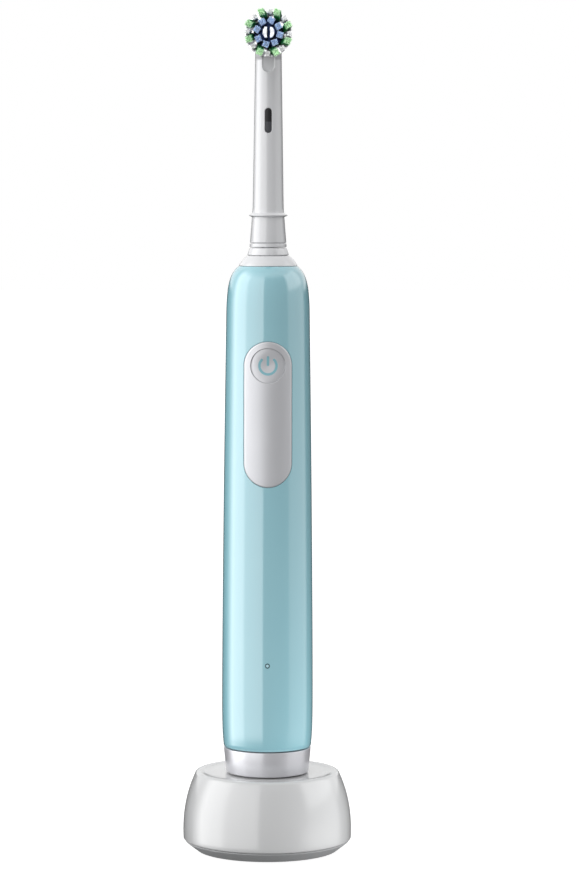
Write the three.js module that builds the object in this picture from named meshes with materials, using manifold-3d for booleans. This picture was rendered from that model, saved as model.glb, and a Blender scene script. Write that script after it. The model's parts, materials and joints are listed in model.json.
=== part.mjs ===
// Electric toothbrush standing on its inductive charger, as an assembly of separate pieces.
// Millimetres, +Z up, origin at the centre of the charger's underside. The button and bristles face -Y.
import * as THREE from 'three';
import { mergeVertices } from 'three/addons/utils/BufferGeometryUtils.js';
import Module from 'manifold-3d';

const wasm = await Module();
wasm.setup();

// Fits
const GAP = 0.3; // between pieces that rest on or butt against each other
const PLAY = 0.1; // radial play between turned pieces that fit into one another

// Charger
const CHARGER_RADIUS = 27; // at the lower edge of the white shell
const CHARGER_HEIGHT = 26; // underside to the top of the rim
const CHARGER_WALL = 1.8;
const CHARGER_BULGE = 0.5; // how far the side swells before it turns in
const SIDE_PULL = 0.4; // where the side curve's two handles stand, as shares of its rise
const SIDE_TURN = 0.72;
const RIM_INSET = 4.2; // the rim is this much narrower than the shell's lower edge
const RIM_WIDTH = 0.8;
const DISH_DEPTH = 0.7;
const BASE_HEIGHT = 3.8; // grey base, up to the white shell
const BASE_TAPER = 4.4; // radius lost between the base's top and its underside
const BASE_FLOOR = 1.8;
const BASE_LIP = 3; // height of the lip that locates the shell
const FOOT_RADIUS = 3.2;
const FOOT_HEIGHT = 1.4;
const FOOT_PROUD = 0.4;
const FOOT_COUNT = 3;
const PEG_LENGTH = 11; // the spigot is a stadium in plan
const PEG_DEPTH = 8;
const PEG_HEIGHT = 11.4; // above the dish
const PEG_WALL = 1.2;
const PEG_CLEARANCE = 0.4; // round the spigot, in the handle's pocket
const CORE_RADIUS = 1.1;
const BOBBIN_WALL = 0.4;
const BOBBIN_FLANGE = 0.8;
const CHARGER_BOARD_LIFT = 4.4; // above the base's floor
const CHARGER_BOARD_THICKNESS = 1.6;
const CHARGER_BOARD_MARGIN = 3; // board's edge to the base's lip
const POST_RADIUS = 1.8;
const POST_PIN_RADIUS = 0.8;
const POST_PHASE = 60; // degrees: the posts stand between the feet
const GROMMET_RADIUS = 2.9;
const GROMMET_FLANGE = 0.7; // flange's radius, over the grommet's
const GROMMET_BORE = 1.7;
const GROMMET_FLANGE_THICKNESS = 1.2;

// Drive
const MODULE_MM = 0.4;
const PINION_TEETH = 10;
const GEAR_TEETH = 20;
const GEAR_WIDTH = 3;
const GEAR_WEB = 0.8; // over the end of the axle
const AXLE_RADIUS = 0.75;
const CRANK_PIN_RADIUS = 0.8;
const SHAFT_SWING = THREE.MathUtils.degToRad(20);
const MOTOR_OFFSET = 1.5; // motor's axis, in front of the handle's
const MOTOR_RADIUS = 9;
const MOTOR_HALF_FLAT = 6.2;
const MOTOR_LENGTH = 28;
const MOTOR_WALL = 0.8;
const END_CAP_HEIGHT = 3;
const END_CAP_FLOOR = 1; // under the rotor's shaft
const END_CAP_SPIGOT = 1; // inside the can
const MAGNET_WALL = 0.9;
const MAGNET_INSET = 2; // from each end of the can
const ARMATURE_INSET = 3;
const AIR_GAP = 0.4;
const ROTOR_SHAFT_RADIUS = 0.75;
const SHAFT_RADIUS = 1.9;
const SHAFT_PILOT_RADIUS = 1.3;
const SHAFT_PROUD = 17.6; // of the nose
const SHAFT_FLAT = 0.5; // depth of the flat that drives the brush head
const SHAFT_FLAT_LENGTH = 12;
const BRACKET_THICKNESS = 1.5;
const PLATE_THICKNESS = 2.5;
const FORK_THICKNESS = 2.5;
const FORK_WALL = 1.2;
const BUSH_WALL = 1.5;
const BUSH_LENGTH = 6;
const BEARING_WALL = 2.4;
const SEAL_WALL = 2.2;
const SEAL_HEIGHT = 2;

// Handle
const CELL_RADIUS = 7.1;
const CELL_OFFSET = 1.2; // cell's axis, behind the handle's
const CELL_LENGTH = 49.5;
const CELL_NUB_RADIUS = 2.75;
const CELL_NUB_HEIGHT = 1;
const TAB_THICKNESS = 0.4;
const TAB_RADIUS = 5;
const HARNESS_BAY = 16; // room for the leads between the cell and the motor
const FORK_BAY = 15.5; // above the fork, up to the bearing head
const CHASSIS_WALL = 1;
const BULKHEAD = 1.4;
const LEAD_HOLE_RADIUS = 1.5;
const SHELL_WALL = 1.7;
const SHELL_CLEARANCE = 0.4;
const SHELL_SWELL = 1.25; // the grip's fullest radius over its slimmest
const SWELL_AT = 15; // the fullest point, above the shell's lower edge
const FOOT_SWELL = 0.56; // shares of the swell at the shell's lower edge and half way up
const MIDDLE_SWELL = 0.65;
const BAND_HEIGHT = 8.3;
const BAND_TAPER = 0.7;
const BAND_ROUNDING = 1.4;
const SEAT_DROP = 0.4; // handle's underside, below the charger's rim
const CAP_FLOOR = 1.6;
const CAP_WALL = 2;
const RING_SECTION = 0.5; // radius of the sealing ring's section
const POCKET_WALL = 1;
const SHOULDER_LENGTH = 15;
const SHOULDER_SLOPE = 3.9; // radius lost over the shoulder
const SHOULDER_PULL = 0.57; // where the shoulder curve's two handles stand, as shares of its length
const SHOULDER_TURN = 0.85;
const SHOULDER_FULLNESS = 0.72; // share of the slope that the upper handle stands outside the cap
const CAP_SPIGOT = 3.5; // shoulder cap's spigot, inside the shell
const SHOULDER_CAP_HEIGHT = 3.3;
const DOME_PULL = 0.62; // where the dome curve's handle stands, as a share of its height
const NOSE_HEIGHT = 2.5;
const NOSE_TAPER = 0.75;
const BEARING_HEAD_HEIGHT = 18.2;
const BEARING_FLANGE = 2;
const BUTTON_RADIUS = 5.5;
const BUTTON_DROP = 9.2; // button's centre, below the bearing head
const BUTTON_FACE = 0.8;
const BUTTON_SINK = 0.4; // button's face, below the pad's
const INSERT_THICKNESS = 0.6;
const INSERT_MARGIN = 0.5; // insert's edge, outside the symbol
const SYMBOL_RADIUS = 2.55; // middle of the power symbol's ring
const SYMBOL_STROKE = 0.7;
const SYMBOL_OPENING = THREE.MathUtils.degToRad(38); // half of the ring's opening
const STEM_RADIUS = 1.2;
const STEM_MIN = 1.2;
const PAD_MARGIN = 2.05; // pad's edge, outside the button
const PAD_LENGTH = 46.1;
const PAD_THICKNESS = 1;
const PAD_PROUD = 0.25;
const BOARD_THICKNESS = 0.8;
const BOARD_EDGE_GAP = 1.1;
const BOARD_TOP_GAP = 2; // board's top edge, below the bearing head
const BOARD_TAIL = 12; // board's lower edge, below the charge light
const SWITCH_HEIGHT = 1.1;
const SWITCH_SIZE = 4.2;
const PLUNGER_RADIUS = 0.9;
const PLUNGER_HEIGHT = 0.4;
const PLUNGER_LENGTH = 0.9;
const LED_SIZE = 1.6;
const LED_HEIGHT = 0.8;
const LENS_RADIUS = 0.7;
const LENS_RISE = 27.8; // charge light, above the shell's lower edge

// Brush head
const RING_HEIGHT = 1.3;
const SOCKET_WALL = 1.85;
const SOCKET_FOOT = 1.2;
const SOCKET_ROOF = 3.1;
const ROD_SEAT = 2; // rod's depth in the socket's roof
const NECK_WALL = 0.9;
const SKIRT_LENGTH = 8.2;
const SKIRT_FLARE = 0.85;
const FLANGE_PROUD = 1.15;
const FLANGE_HEIGHT = 1.3;
const NECK_TAPER = 0.85;
const ROD_BORE = 2.6;
const ROD_RADIUS = 0.8;
const NECK_LENGTH = 56.6; // top of the flange to the centre of the bristle disc
const WINDOW_RISE = 25.3; // window's lower end, above the top of the flange
const WINDOW_LENGTH = 7.9;
const WINDOW_RADIUS = 1.12;
const WINDOW_INSET = 0.5;
const LABEL_THICKNESS = 0.7;
const SCOOP_WIDTH = 4;
const SCOOP_LENGTH = 12;
const SCOOP_DEPTH = 0.6;
const HOOD_FRONT = 4.3; // hood's front face, before the neck's axis
const HOOD_BACK = 4.2;
const HOOD_WALL = 0.9;
const SHANK_RADIUS = 5;
const SHANK_LENGTH = 2;
const PIN_RADIUS = 0.6;
const DISC_THICKNESS = 2.2;
const LINK_DROP = 3.02; // where the link drives the disc, below its centre
const DISC_RATIO = 1.125; // disc's swing over the shaft's
const CENTRE_TUFT_LENGTH = 3.8;
const CENTRE_TUFT_WIDTH = 1.5;
const CENTRE_TUFT_SPACING = 2.1;
const BLUE_RING = 3.7; // radius of the inner ring of tufts
const RING_PITCH = 2; // green ring's radius, over the blue ring's
const RING_STEP = 0.6; // white ring's radius, over the green ring's
const TUFTS_A_RING = 8;
const TUFT_DEPTH = 1.3;
const TUFT_WIDTH = 1.5;
const TUFT_LENGTH = 8.6;
const MAT_WIDTH = 0.4; // the mat is the strip of melted filament that joins the roots
const MAT_THICKNESS = 0.6;
const DISC_RIM = 0.4;

// Worked out from the above: gears and the stack of parts across the handle
const gearRadius = (teeth) => (MODULE_MM * teeth) / 2;
const gearDistance = gearRadius(PINION_TEETH) + gearRadius(GEAR_TEETH);
const gearOffset = gearDistance - MOTOR_OFFSET; // gear's axis, behind the handle's
const crankRadius = gearOffset * Math.sin(SHAFT_SWING);

const frontCut = MOTOR_OFFSET + MOTOR_HALF_FLAT; // front of the motor, and of the open chassis
const boardBack = frontCut + GAP;
const boardFront = boardBack + BOARD_THICKNESS;
const plungerEnd = boardFront + SWITCH_HEIGHT + PLUNGER_HEIGHT;
const stemEnd = plungerEnd + GAP;
const insertBack = stemEnd + STEM_MIN;
const buttonStack = insertBack + INSERT_THICKNESS + BUTTON_FACE + BUTTON_SINK - PAD_PROUD;
const motorCorner = Math.hypot(Math.sqrt(MOTOR_RADIUS ** 2 - MOTOR_HALF_FLAT ** 2), frontCut);
const chassisBore = Math.max(
  motorCorner + PLAY,
  gearOffset + gearRadius(GEAR_TEETH) + MODULE_MM + GAP,
  CELL_OFFSET + CELL_RADIUS + GAP,
  buttonStack - SHELL_WALL - SHELL_CLEARANCE - CHASSIS_WALL,
);
const chassisRadius = chassisBore + CHASSIS_WALL;
const shellBore = chassisRadius + SHELL_CLEARANCE;
const gripRadius = shellBore + SHELL_WALL;
const shoulderRadius = gripRadius - SHOULDER_SLOPE;
const shellFootRadius = gripRadius + FOOT_SWELL * SHELL_SWELL;
const bushRadius = SHAFT_RADIUS + PLAY + BUSH_WALL;

const socketRadius = SHAFT_RADIUS + PLAY + SOCKET_WALL;
const neckBore = socketRadius + 2 * PLAY;
const neckRadius = neckBore + NECK_WALL;
const skirtRadius = neckRadius + SKIRT_FLARE;
const noseRadius = skirtRadius + PLAY;

// Heights in the charger
const dishHeight = CHARGER_HEIGHT - DISH_DEPTH;
const ceiling = dishHeight - CHARGER_WALL;
const pegTop = dishHeight + PEG_HEIGHT;
const seatHeight = CHARGER_HEIGHT - SEAT_DROP; // handle's underside
const rimRadius = CHARGER_RADIUS - RIM_INSET;
const footRing = CHARGER_RADIUS - BASE_TAPER - FOOT_RADIUS - CHARGER_WALL;
const chargerFoot = BASE_HEIGHT + PLAY;
const baseFloorTop = FOOT_PROUD + BASE_FLOOR;
const lipRadius = CHARGER_RADIUS - CHARGER_WALL - PLAY;
const chargerBoardFoot = baseFloorTop + CHARGER_BOARD_LIFT;
const chargerBoardTop = chargerBoardFoot + CHARGER_BOARD_THICKNESS;
const chargerBoardRadius = lipRadius - CHARGER_WALL - CHARGER_BOARD_MARGIN;
const postRing = chargerBoardRadius - 2 * POST_RADIUS;
const outletHeight = BASE_HEIGHT + BASE_LIP + GROMMET_RADIUS + GROMMET_FLANGE + GAP;

// Heights in the handle, above its underside
const shellFoot = BAND_HEIGHT + PLAY;
const pocketTop = pegTop - seatHeight + 2 * GAP;
const coilTop = pocketTop + POCKET_WALL;
const chassisFoot = coilTop + 2 * GAP;
const cellFoot = chassisFoot + BULKHEAD + TAB_THICKNESS + 2 * GAP;
const cellHead = cellFoot + CELL_LENGTH;
const dividerFoot = cellHead + TAB_THICKNESS + 3 * GAP;
const motorFoot = dividerFoot + BULKHEAD + HARNESS_BAY;
const motorHead = motorFoot + MOTOR_LENGTH;
const bracketFoot = motorHead + GAP;
const gearFoot = bracketFoot + BRACKET_THICKNESS + 4 * GAP;
const gearHead = gearFoot + GEAR_WIDTH;
const plateFoot = gearHead + 4 * GAP;
const plateHead = plateFoot + PLATE_THICKNESS;
const forkFoot = plateHead + 4 * GAP;
const forkHead = forkFoot + FORK_THICKNESS;
const bearingFoot = forkHead + FORK_BAY;
const bearingHead = bearingFoot + BEARING_HEAD_HEIGHT;
const chassisHead = bearingFoot - 2 * GAP;
const spigotFoot = bearingHead + GAP;
const shellHead = spigotFoot + CAP_SPIGOT;
const noseFoot = shellHead + SHOULDER_CAP_HEIGHT;
const noseHead = noseFoot + NOSE_HEIGHT;
const shaftTip = noseHead + SHAFT_PROUD;
const buttonHeight = bearingFoot - BUTTON_DROP;
const padRadius = BUTTON_RADIUS + PAD_MARGIN;
const padTop = buttonHeight + padRadius;
const padFoot = padTop - PAD_LENGTH;
const lensHeight = shellFoot + LENS_RISE;
const boardFoot = lensHeight - BOARD_TAIL;
const boardHead = bearingFoot - BOARD_TOP_GAP;
const boardHalfWidth = Math.sqrt(shellBore ** 2 - boardFront ** 2) - BOARD_EDGE_GAP;

// Heights in the brush head, above the handle's nose
const ringFoot = 2 * PLAY;
const neckFoot = ringFoot + RING_HEIGHT + PLAY;
const flangeFoot = neckFoot + SKIRT_LENGTH;
const flangeHead = flangeFoot + FLANGE_HEIGHT;
const windowFoot = flangeHead + WINDOW_RISE;
const windowHead = windowFoot + WINDOW_LENGTH;
const discHeight = flangeHead + NECK_LENGTH;
const socketTop = SHAFT_PROUD + GAP; // top of the socket's blind bore
const socketHead = socketTop + SOCKET_ROOF;
const linkReach = LINK_DROP * DISC_RATIO;
const armTop = discHeight - SHANK_RADIUS - GAP;
const armFoot = armTop - 2 * ROD_RADIUS;

// Distances of the disc and its tufts in front of the neck's axis, and radii on the disc
const discBack = HOOD_FRONT + GAP;
const discFront = discBack + DISC_THICKNESS;
const shankBack = discBack - SHANK_LENGTH;
const pinTip = discFront - MAT_THICKNESS - 3 * GAP;
const matFoot = discFront - MAT_THICKNESS;
const tuftTip = discFront + TUFT_LENGTH;
const hoodRadius = SHANK_RADIUS + GAP + HOOD_WALL;
const greenRing = BLUE_RING + RING_PITCH;
const whiteRing = greenRing + RING_STEP;
const discRadius = whiteRing + TUFT_DEPTH / 2 + DISC_RIM;

// Solids
const TURN = 2 * Math.PI;
const ROUND = 36; // facets on a large turned piece
const MEDIUM_ROUND = 28;
const SMALL_ROUND = 16;
const TINY_ROUND = 10;
const CURVE_STEPS = 6; // pieces that a long curve is drawn in
const CORNER_STEPS = 3;
const REACH = 200; // longer than any cut

const point = (x, y) => new THREE.Vector2(x, y);

function solidOf(geometry) {
  const bare = geometry.clone();
  bare.deleteAttribute('normal');
  bare.deleteAttribute('uv');
  const merged = mergeVertices(bare, 1e-4);
  return new wasm.Manifold(
    new wasm.Mesh({
      numProp: 3,
      vertProperties: merged.attributes.position.array,
      triVerts: new Uint32Array(merged.index.array),
    }),
  );
}

function geometryOf(solid) {
  const { vertProperties, triVerts } = solid.getMesh();
  const indexed = new THREE.BufferGeometry()
    .setAttribute('position', new THREE.BufferAttribute(vertProperties, 3))
    .setIndex(new THREE.BufferAttribute(triVerts, 1));
  const geometry = indexed.toNonIndexed();
  geometry.computeVertexNormals();
  return geometry;
}

const joined = (solids) => solids.reduce((whole, solid) => whole.add(solid));

// A piece turned about Z from [radius, height] points, counter-clockwise. An outline that
// doesn't start on the axis closes on itself.
function turned(outline, facets = ROUND) {
  const points = outline.map(([radius, height]) => point(radius, height));
  if (outline[0][0] > 0) points.push(points[0].clone());
  return solidOf(new THREE.LatheGeometry(points, facets).rotateX(Math.PI / 2));
}

const rod = (radius, foot, head, facets = SMALL_ROUND) =>
  turned([[0, foot], [radius, foot], [radius, head], [0, head]], facets);

const tube = (bore, radius, foot, head, facets = SMALL_ROUND) =>
  turned([[bore, foot], [radius, foot], [radius, head], [bore, head]], facets);

// A flat outline in X and Y, raised from foot to head along Z.
function raised(shape, foot, head, curveSegments = CURVE_STEPS) {
  const options = { depth: head - foot, bevelEnabled: false, curveSegments };
  return solidOf(new THREE.ExtrudeGeometry(shape, options).translate(0, 0, foot));
}

// A block between its lowest and its highest corner.
function block([x0, y0, z0], [x1, y1, z1]) {
  const box = new THREE.BoxGeometry(x1 - x0, y1 - y0, z1 - z0);
  return solidOf(box.translate((x0 + x1) / 2, (y0 + y1) / 2, (z0 + z1) / 2));
}

// Turns a solid made along Z so that it points to the front, -Y, and its Y points up.
const toFront = (solid) => solid.rotate([90, 0, 0]);

// A stadium, its long axis along X.
function stadium(length, radius) {
  const reach = length / 2 - radius;
  const shape = new THREE.Shape();
  shape.absarc(reach, 0, radius, -Math.PI / 2, Math.PI / 2, false);
  shape.absarc(-reach, 0, radius, Math.PI / 2, (3 * Math.PI) / 2, false);
  return shape;
}

// The spigot's stadium at another radius: what is wound on it or fits round it keeps its straight part.
const aroundPeg = (radius, foot, head) =>
  raised(stadium(PEG_LENGTH - PEG_DEPTH + 2 * radius, radius), foot, head);

// An upright stadium that reaches from one distance in front of the axis to another.
const frontStadium = (radius, foot, head, near, far) =>
  toFront(raised(stadium(head - foot, radius), near, far).rotate([0, 0, 90]))
    .translate([0, 0, (foot + head) / 2]);

// The same solid at equal angles round Z.
const ringOf = (solid, count, phase = 0) =>
  Array.from({ length: count }, (_, i) => solid.rotate([0, 0, phase + (360 * i) / count]));

// Involute gear outline. Each tooth is thinned by the backlash.
const PRESSURE_ANGLE = THREE.MathUtils.degToRad(20);
const ADDENDUM = 0.85;
const DEDENDUM = 1.25;
const BACKLASH = 0.1;
const FLANK_STEPS = 3;

function gearShape(teeth, phase) {
  const pitch = gearRadius(teeth);
  const root = pitch - DEDENDUM * MODULE_MM;
  const tip = pitch + ADDENDUM * MODULE_MM;
  const baseCircle = pitch * Math.cos(PRESSURE_ANGLE);
  const start = Math.max(baseCircle, root);
  const involute = (angle) => Math.tan(angle) - angle;
  const halfTooth = Math.PI / (2 * teeth) - BACKLASH / (2 * pitch) + involute(PRESSURE_ANGLE);
  const flank = [[root, halfTooth]];
  for (let i = 0; i < FLANK_STEPS; i++) {
    const radius = start + ((tip - start) * i) / (FLANK_STEPS - 1);
    flank.push([radius, halfTooth - involute(Math.acos(Math.min(1, baseCircle / radius)))]);
  }
  const outline = [];
  for (let tooth = 0; tooth < teeth; tooth++) {
    const middle = phase + (TURN * tooth) / teeth;
    const at = (radius, angle) => point(radius * Math.cos(angle), radius * Math.sin(angle));
    outline.push(...flank.map(([radius, half]) => at(radius, middle - half)));
    outline.push(...flank.toReversed().map(([radius, half]) => at(radius, middle + half)));
  }
  return new THREE.Shape(outline);
}

// Outlines shared by several pieces, as [radius, height] points
const sampled = (curve, steps) => curve.getPoints(steps).map((p) => [p.x, p.y]);

// The charger's side, swelling a little and then turning in, from its foot to a top height.
function chargerSide(inset, top) {
  const rise = top - chargerFoot;
  return new THREE.CubicBezierCurve(
    point(CHARGER_RADIUS - inset, chargerFoot),
    point(CHARGER_RADIUS + CHARGER_BULGE - inset, chargerFoot + SIDE_PULL * rise),
    point(rimRadius + SIDE_TURN * RIM_INSET - inset, chargerFoot + SIDE_TURN * rise),
    point(rimRadius - inset, top),
  );
}

// The handle shell's outside: the grip's long swell, then the round shoulder.
const shoulderFoot = shellHead - SHOULDER_LENGTH;
const gripCurve = new THREE.SplineCurve([
  point(shellFootRadius, shellFoot),
  point(gripRadius + SHELL_SWELL, shellFoot + SWELL_AT),
  point(gripRadius + MIDDLE_SWELL * SHELL_SWELL, (shellFoot + SWELL_AT + shoulderFoot) / 2),
  point(gripRadius, shoulderFoot),
]);
const shoulderCurve = new THREE.CubicBezierCurve(
  point(gripRadius, shoulderFoot),
  point(gripRadius - PLAY, shoulderFoot + SHOULDER_PULL * SHOULDER_LENGTH),
  point(
    shoulderRadius + SHOULDER_FULLNESS * SHOULDER_SLOPE,
    shoulderFoot + SHOULDER_TURN * SHOULDER_LENGTH,
  ),
  point(shoulderRadius, shellHead),
);
const shoulderLine = sampled(shoulderCurve, CURVE_STEPS);
const shellLine = [...sampled(gripCurve, CURVE_STEPS), ...shoulderLine.slice(1)];

// The solid inside the shell's outside surface, that surface moved out by an amount.
const shellBody = (grow) =>
  turned([[0, shellFoot], ...shellLine.map(([r, h]) => [r + grow, h]), [0, shellHead]]);

function shellRadiusAt(height) {
  const above = shellLine.findIndex(([, h]) => h > height);
  const [[r0, h0], [r1, h1]] = [shellLine[above - 1], shellLine[above]];
  return r0 + ((r1 - r0) * (height - h0)) / (h1 - h0);
}

// Materials
const finish = (color, roughness, metalness = 0) =>
  new THREE.MeshStandardMaterial({ color, roughness, metalness });
const whiteGloss = finish(0xf0f1f3, 0.25);
const whiteSatin = finish(0xe2e3e7, 0.5);
const aquaGloss = finish(0x9ed3df, 0.18);
const aquaInk = finish(0xa4ccd4, 0.4);
const silverGloss = finish(0xc3c4c9, 0.22);
const greySatin = finish(0xa3a6a6, 0.5);
const darkPlastic = finish(0x22242a, 0.4);
const naturalPlastic = finish(0xd8d4c6, 0.55);
const blackRubber = finish(0x1d1d1f, 0.8);
const steel = finish(0xb9bcc0, 0.25, 1);
const bronze = finish(0xa9763f, 0.5, 1);
const copper = finish(0xb8692c, 0.35, 1);
const ferrite = finish(0x3a3b3f, 0.7, 0.2);
const cellWrap = finish(0x3f7f5a, 0.35);
const boardGreen = finish(0x1f5a3a, 0.5);
const clearLens = finish(0x7f9ea6, 0.1);
const greenFilament = finish(0x3f9a55, 0.4);
const blueFilament = finish(0x7fa0d8, 0.4);
const whiteFilament = finish(0xf2f2f4, 0.4);

// Assembly
const toothbrush = new THREE.Group();
const charger = new THREE.Group();
const handle = new THREE.Group();
const head = new THREE.Group();
const disc = new THREE.Group();
toothbrush.add(charger, handle);
handle.add(head);
head.add(disc);
handle.position.z = seatHeight;
head.position.z = noseHead;
disc.position.z = discHeight;
disc.rotation.x = Math.PI / 2; // its Z points to the front

function add(group, name, solid, material) {
  const mesh = new THREE.Mesh(geometryOf(solid), material);
  mesh.name = name;
  group.add(mesh);
}

// Charger pieces
const onFootRing = (solid, i) =>
  solid.translate([0, -footRing, 0]).rotate([0, 0, (360 * i) / FOOT_COUNT]);
const onPostRing = (solid, i) =>
  solid.translate([0, postRing, 0]).rotate([0, 0, POST_PHASE + (360 * i) / FOOT_COUNT]);
const eachFoot = Array.from({ length: FOOT_COUNT }, (_, i) => i);

function chargerShell() {
  const dish = new THREE.QuadraticBezierCurve(
    point(rimRadius - RIM_WIDTH, CHARGER_HEIGHT),
    point(rimRadius - 3 * RIM_WIDTH, dishHeight),
    point(rimRadius / 2, dishHeight),
  );
  const shell = turned([
    [0, ceiling],
    ...sampled(chargerSide(CHARGER_WALL, ceiling), CURVE_STEPS).toReversed(),
    ...sampled(chargerSide(0, CHARGER_HEIGHT), CURVE_STEPS),
    ...sampled(dish, CORNER_STEPS),
    [0, dishHeight],
  ]);
  const peg = aroundPeg(PEG_DEPTH / 2, ceiling, pegTop);
  const hollow = aroundPeg(PEG_DEPTH / 2 - PEG_WALL, 0, pegTop - PEG_WALL);
  const outlet = toFront(rod(GROMMET_RADIUS + PLAY, -REACH, 0)).translate([0, 0, outletHeight]);
  return shell.add(peg).subtract(hollow).subtract(outlet);
}

function chargerBase() {
  const dish = turned([
    [0, FOOT_PROUD],
    [CHARGER_RADIUS - BASE_TAPER, FOOT_PROUD],
    [CHARGER_RADIUS, BASE_HEIGHT],
    [lipRadius, BASE_HEIGHT],
    [lipRadius, BASE_HEIGHT + BASE_LIP],
    [lipRadius - CHARGER_WALL, BASE_HEIGHT + BASE_LIP],
    [lipRadius - CHARGER_WALL, BASE_HEIGHT],
    [CHARGER_RADIUS - BASE_TAPER - CHARGER_WALL, baseFloorTop],
    [0, baseFloorTop],
  ]);
  const recess = rod(FOOT_RADIUS + PLAY, 0, FOOT_HEIGHT + PLAY);
  const post = rod(POST_RADIUS, baseFloorTop - PLAY, chargerBoardFoot - PLAY, TINY_ROUND)
    .add(rod(POST_PIN_RADIUS, baseFloorTop, chargerBoardTop + 2 * PLAY, TINY_ROUND));
  const posts = joined(eachFoot.map((i) => onPostRing(post, i)));
  const recesses = joined(eachFoot.map((i) => onFootRing(recess, i)));
  return dish.add(posts).subtract(recesses);
}

function chargerBoard() {
  const board = rod(chargerBoardRadius, chargerBoardFoot, chargerBoardTop, ROUND);
  const hole = rod(POST_PIN_RADIUS + PLAY, 0, REACH, TINY_ROUND);
  return board.subtract(joined(eachFoot.map((i) => onPostRing(hole, i))));
}

const bobbinFoot = chargerBoardTop + GAP;
const bobbinTop = pegTop - PEG_WALL - GAP;
const flangeReach = PEG_DEPTH / 2 - PEG_WALL - GAP;
const bobbinRadius = CORE_RADIUS + PLAY + BOBBIN_WALL;

function chargerBobbin() {
  const core = aroundPeg(CORE_RADIUS + PLAY, bobbinFoot + BOBBIN_FLANGE, bobbinTop + GAP);
  return aroundPeg(bobbinRadius, bobbinFoot, bobbinTop)
    .add(aroundPeg(flangeReach, bobbinFoot, bobbinFoot + BOBBIN_FLANGE))
    .add(aroundPeg(flangeReach, bobbinTop - BOBBIN_FLANGE, bobbinTop))
    .subtract(core);
}

const chargerFerrite = () =>
  aroundPeg(CORE_RADIUS, bobbinFoot + BOBBIN_FLANGE + PLAY, bobbinTop);

// Fills a bobbin's winding space, from the outside of its core to the edge of its flanges.
const winding = (core, edge, foot, top) => {
  const [coilFoot, coilHead] = [foot + BOBBIN_FLANGE + PLAY, top - BOBBIN_FLANGE - PLAY];
  return aroundPeg(edge, coilFoot, coilHead).subtract(aroundPeg(core + PLAY, foot, top));
};

// Sits in the outlet at the back, flush with the shell, its flange behind the wall.
function cordGrommet() {
  const outside = CHARGER_RADIUS;
  const flangeRadius = GROMMET_RADIUS + GROMMET_FLANGE;
  const wallInside = Math.sqrt((CHARGER_RADIUS - CHARGER_WALL) ** 2 - flangeRadius ** 2);
  const flangeFace = wallInside - 2 * GAP;
  const flangeBack = flangeFace - GROMMET_FLANGE_THICKNESS;
  const outline = [
    [GROMMET_BORE, -outside],
    [GROMMET_BORE, -flangeBack],
    [flangeRadius, -flangeBack],
    [flangeRadius, -flangeFace],
    [GROMMET_RADIUS, -flangeFace],
    [GROMMET_RADIUS, -outside],
  ];
  return toFront(turned(outline.toReversed(), SMALL_ROUND)).translate([0, 0, outletHeight]);
}

add(charger, 'charger_shell', chargerShell(), whiteGloss);
add(charger, 'charger_base', chargerBase(), greySatin);
add(charger, 'charger_board', chargerBoard(), boardGreen);
add(charger, 'charger_bobbin', chargerBobbin(), naturalPlastic);
add(charger, 'charger_ferrite', chargerFerrite(), ferrite);
add(charger, 'primary_coil', winding(bobbinRadius, flangeReach, bobbinFoot, bobbinTop), copper);
add(charger, 'cord_grommet', cordGrommet(), greySatin);
for (const i of eachFoot) {
  add(charger, `foot_${i + 1}`, onFootRing(rod(FOOT_RADIUS, 0, FOOT_HEIGHT), i), blackRubber);
}

// Handle pieces
const capRadius = shellBore - PLAY;
const capBore = capRadius - CAP_WALL;
const grooveFoot = shellFoot + 4 * GAP;
const grooveHeight = 2 * RING_SECTION + 2 * PLAY;
const grooveRadius = capRadius - 2 * RING_SECTION - PLAY;
const pocketRadius = PEG_DEPTH / 2 + PEG_CLEARANCE;
const spoolRadius = pocketRadius + POCKET_WALL + PLAY;
const spoolReach = capBore - GAP - (PEG_LENGTH - PEG_DEPTH) / 2;
const spoolFoot = CAP_FLOOR + GAP;
const spoolTop = coilTop - GAP;
const atButton = (solid) => toFront(solid).translate([0, 0, buttonHeight]);
const atLens = (solid) => toFront(solid).translate([0, 0, lensHeight]);

function handleShell() {
  const bore = turned([
    [0, shellFoot - GAP],
    [shellBore, shellFoot - GAP],
    ...shoulderLine.map(([r, h]) => [r - SHELL_WALL, h]),
    [shoulderRadius - SHELL_WALL, shellHead + GAP],
    [0, shellHead + GAP],
  ]);
  const recess = frontStadium(padRadius + PLAY, padFoot - PLAY, padTop + PLAY, 0, REACH)
    .subtract(shellBody(PAD_PROUD - PAD_THICKNESS - GAP));
  const buttonHole = atButton(rod(BUTTON_RADIUS + PLAY, 0, REACH, ROUND));
  const lensHole = atLens(rod(LENS_RADIUS + PLAY, 0, REACH, TINY_ROUND));
  return shellBody(0).subtract(joined([bore, recess, buttonHole, lensHole]));
}

function controlPad() {
  const blank = frontStadium(padRadius, padFoot, padTop, 0, REACH);
  const hole = atButton(rod(BUTTON_RADIUS + PLAY, 0, REACH, ROUND));
  const behind = shellBody(PAD_PROUD - PAD_THICKNESS);
  return shellBody(PAD_PROUD).intersect(blank).subtract(behind).subtract(hole);
}

function baseRing() {
  const round = BAND_ROUNDING;
  const middle = shellFootRadius - BAND_TAPER - round;
  const corner = new THREE.EllipseCurve(middle, round, round, round, -Math.PI / 2, 0);
  return turned([
    [shellBore, 0],
    ...sampled(corner, CORNER_STEPS),
    [shellFootRadius, BAND_HEIGHT],
    [shellBore, BAND_HEIGHT],
  ]);
}

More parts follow.
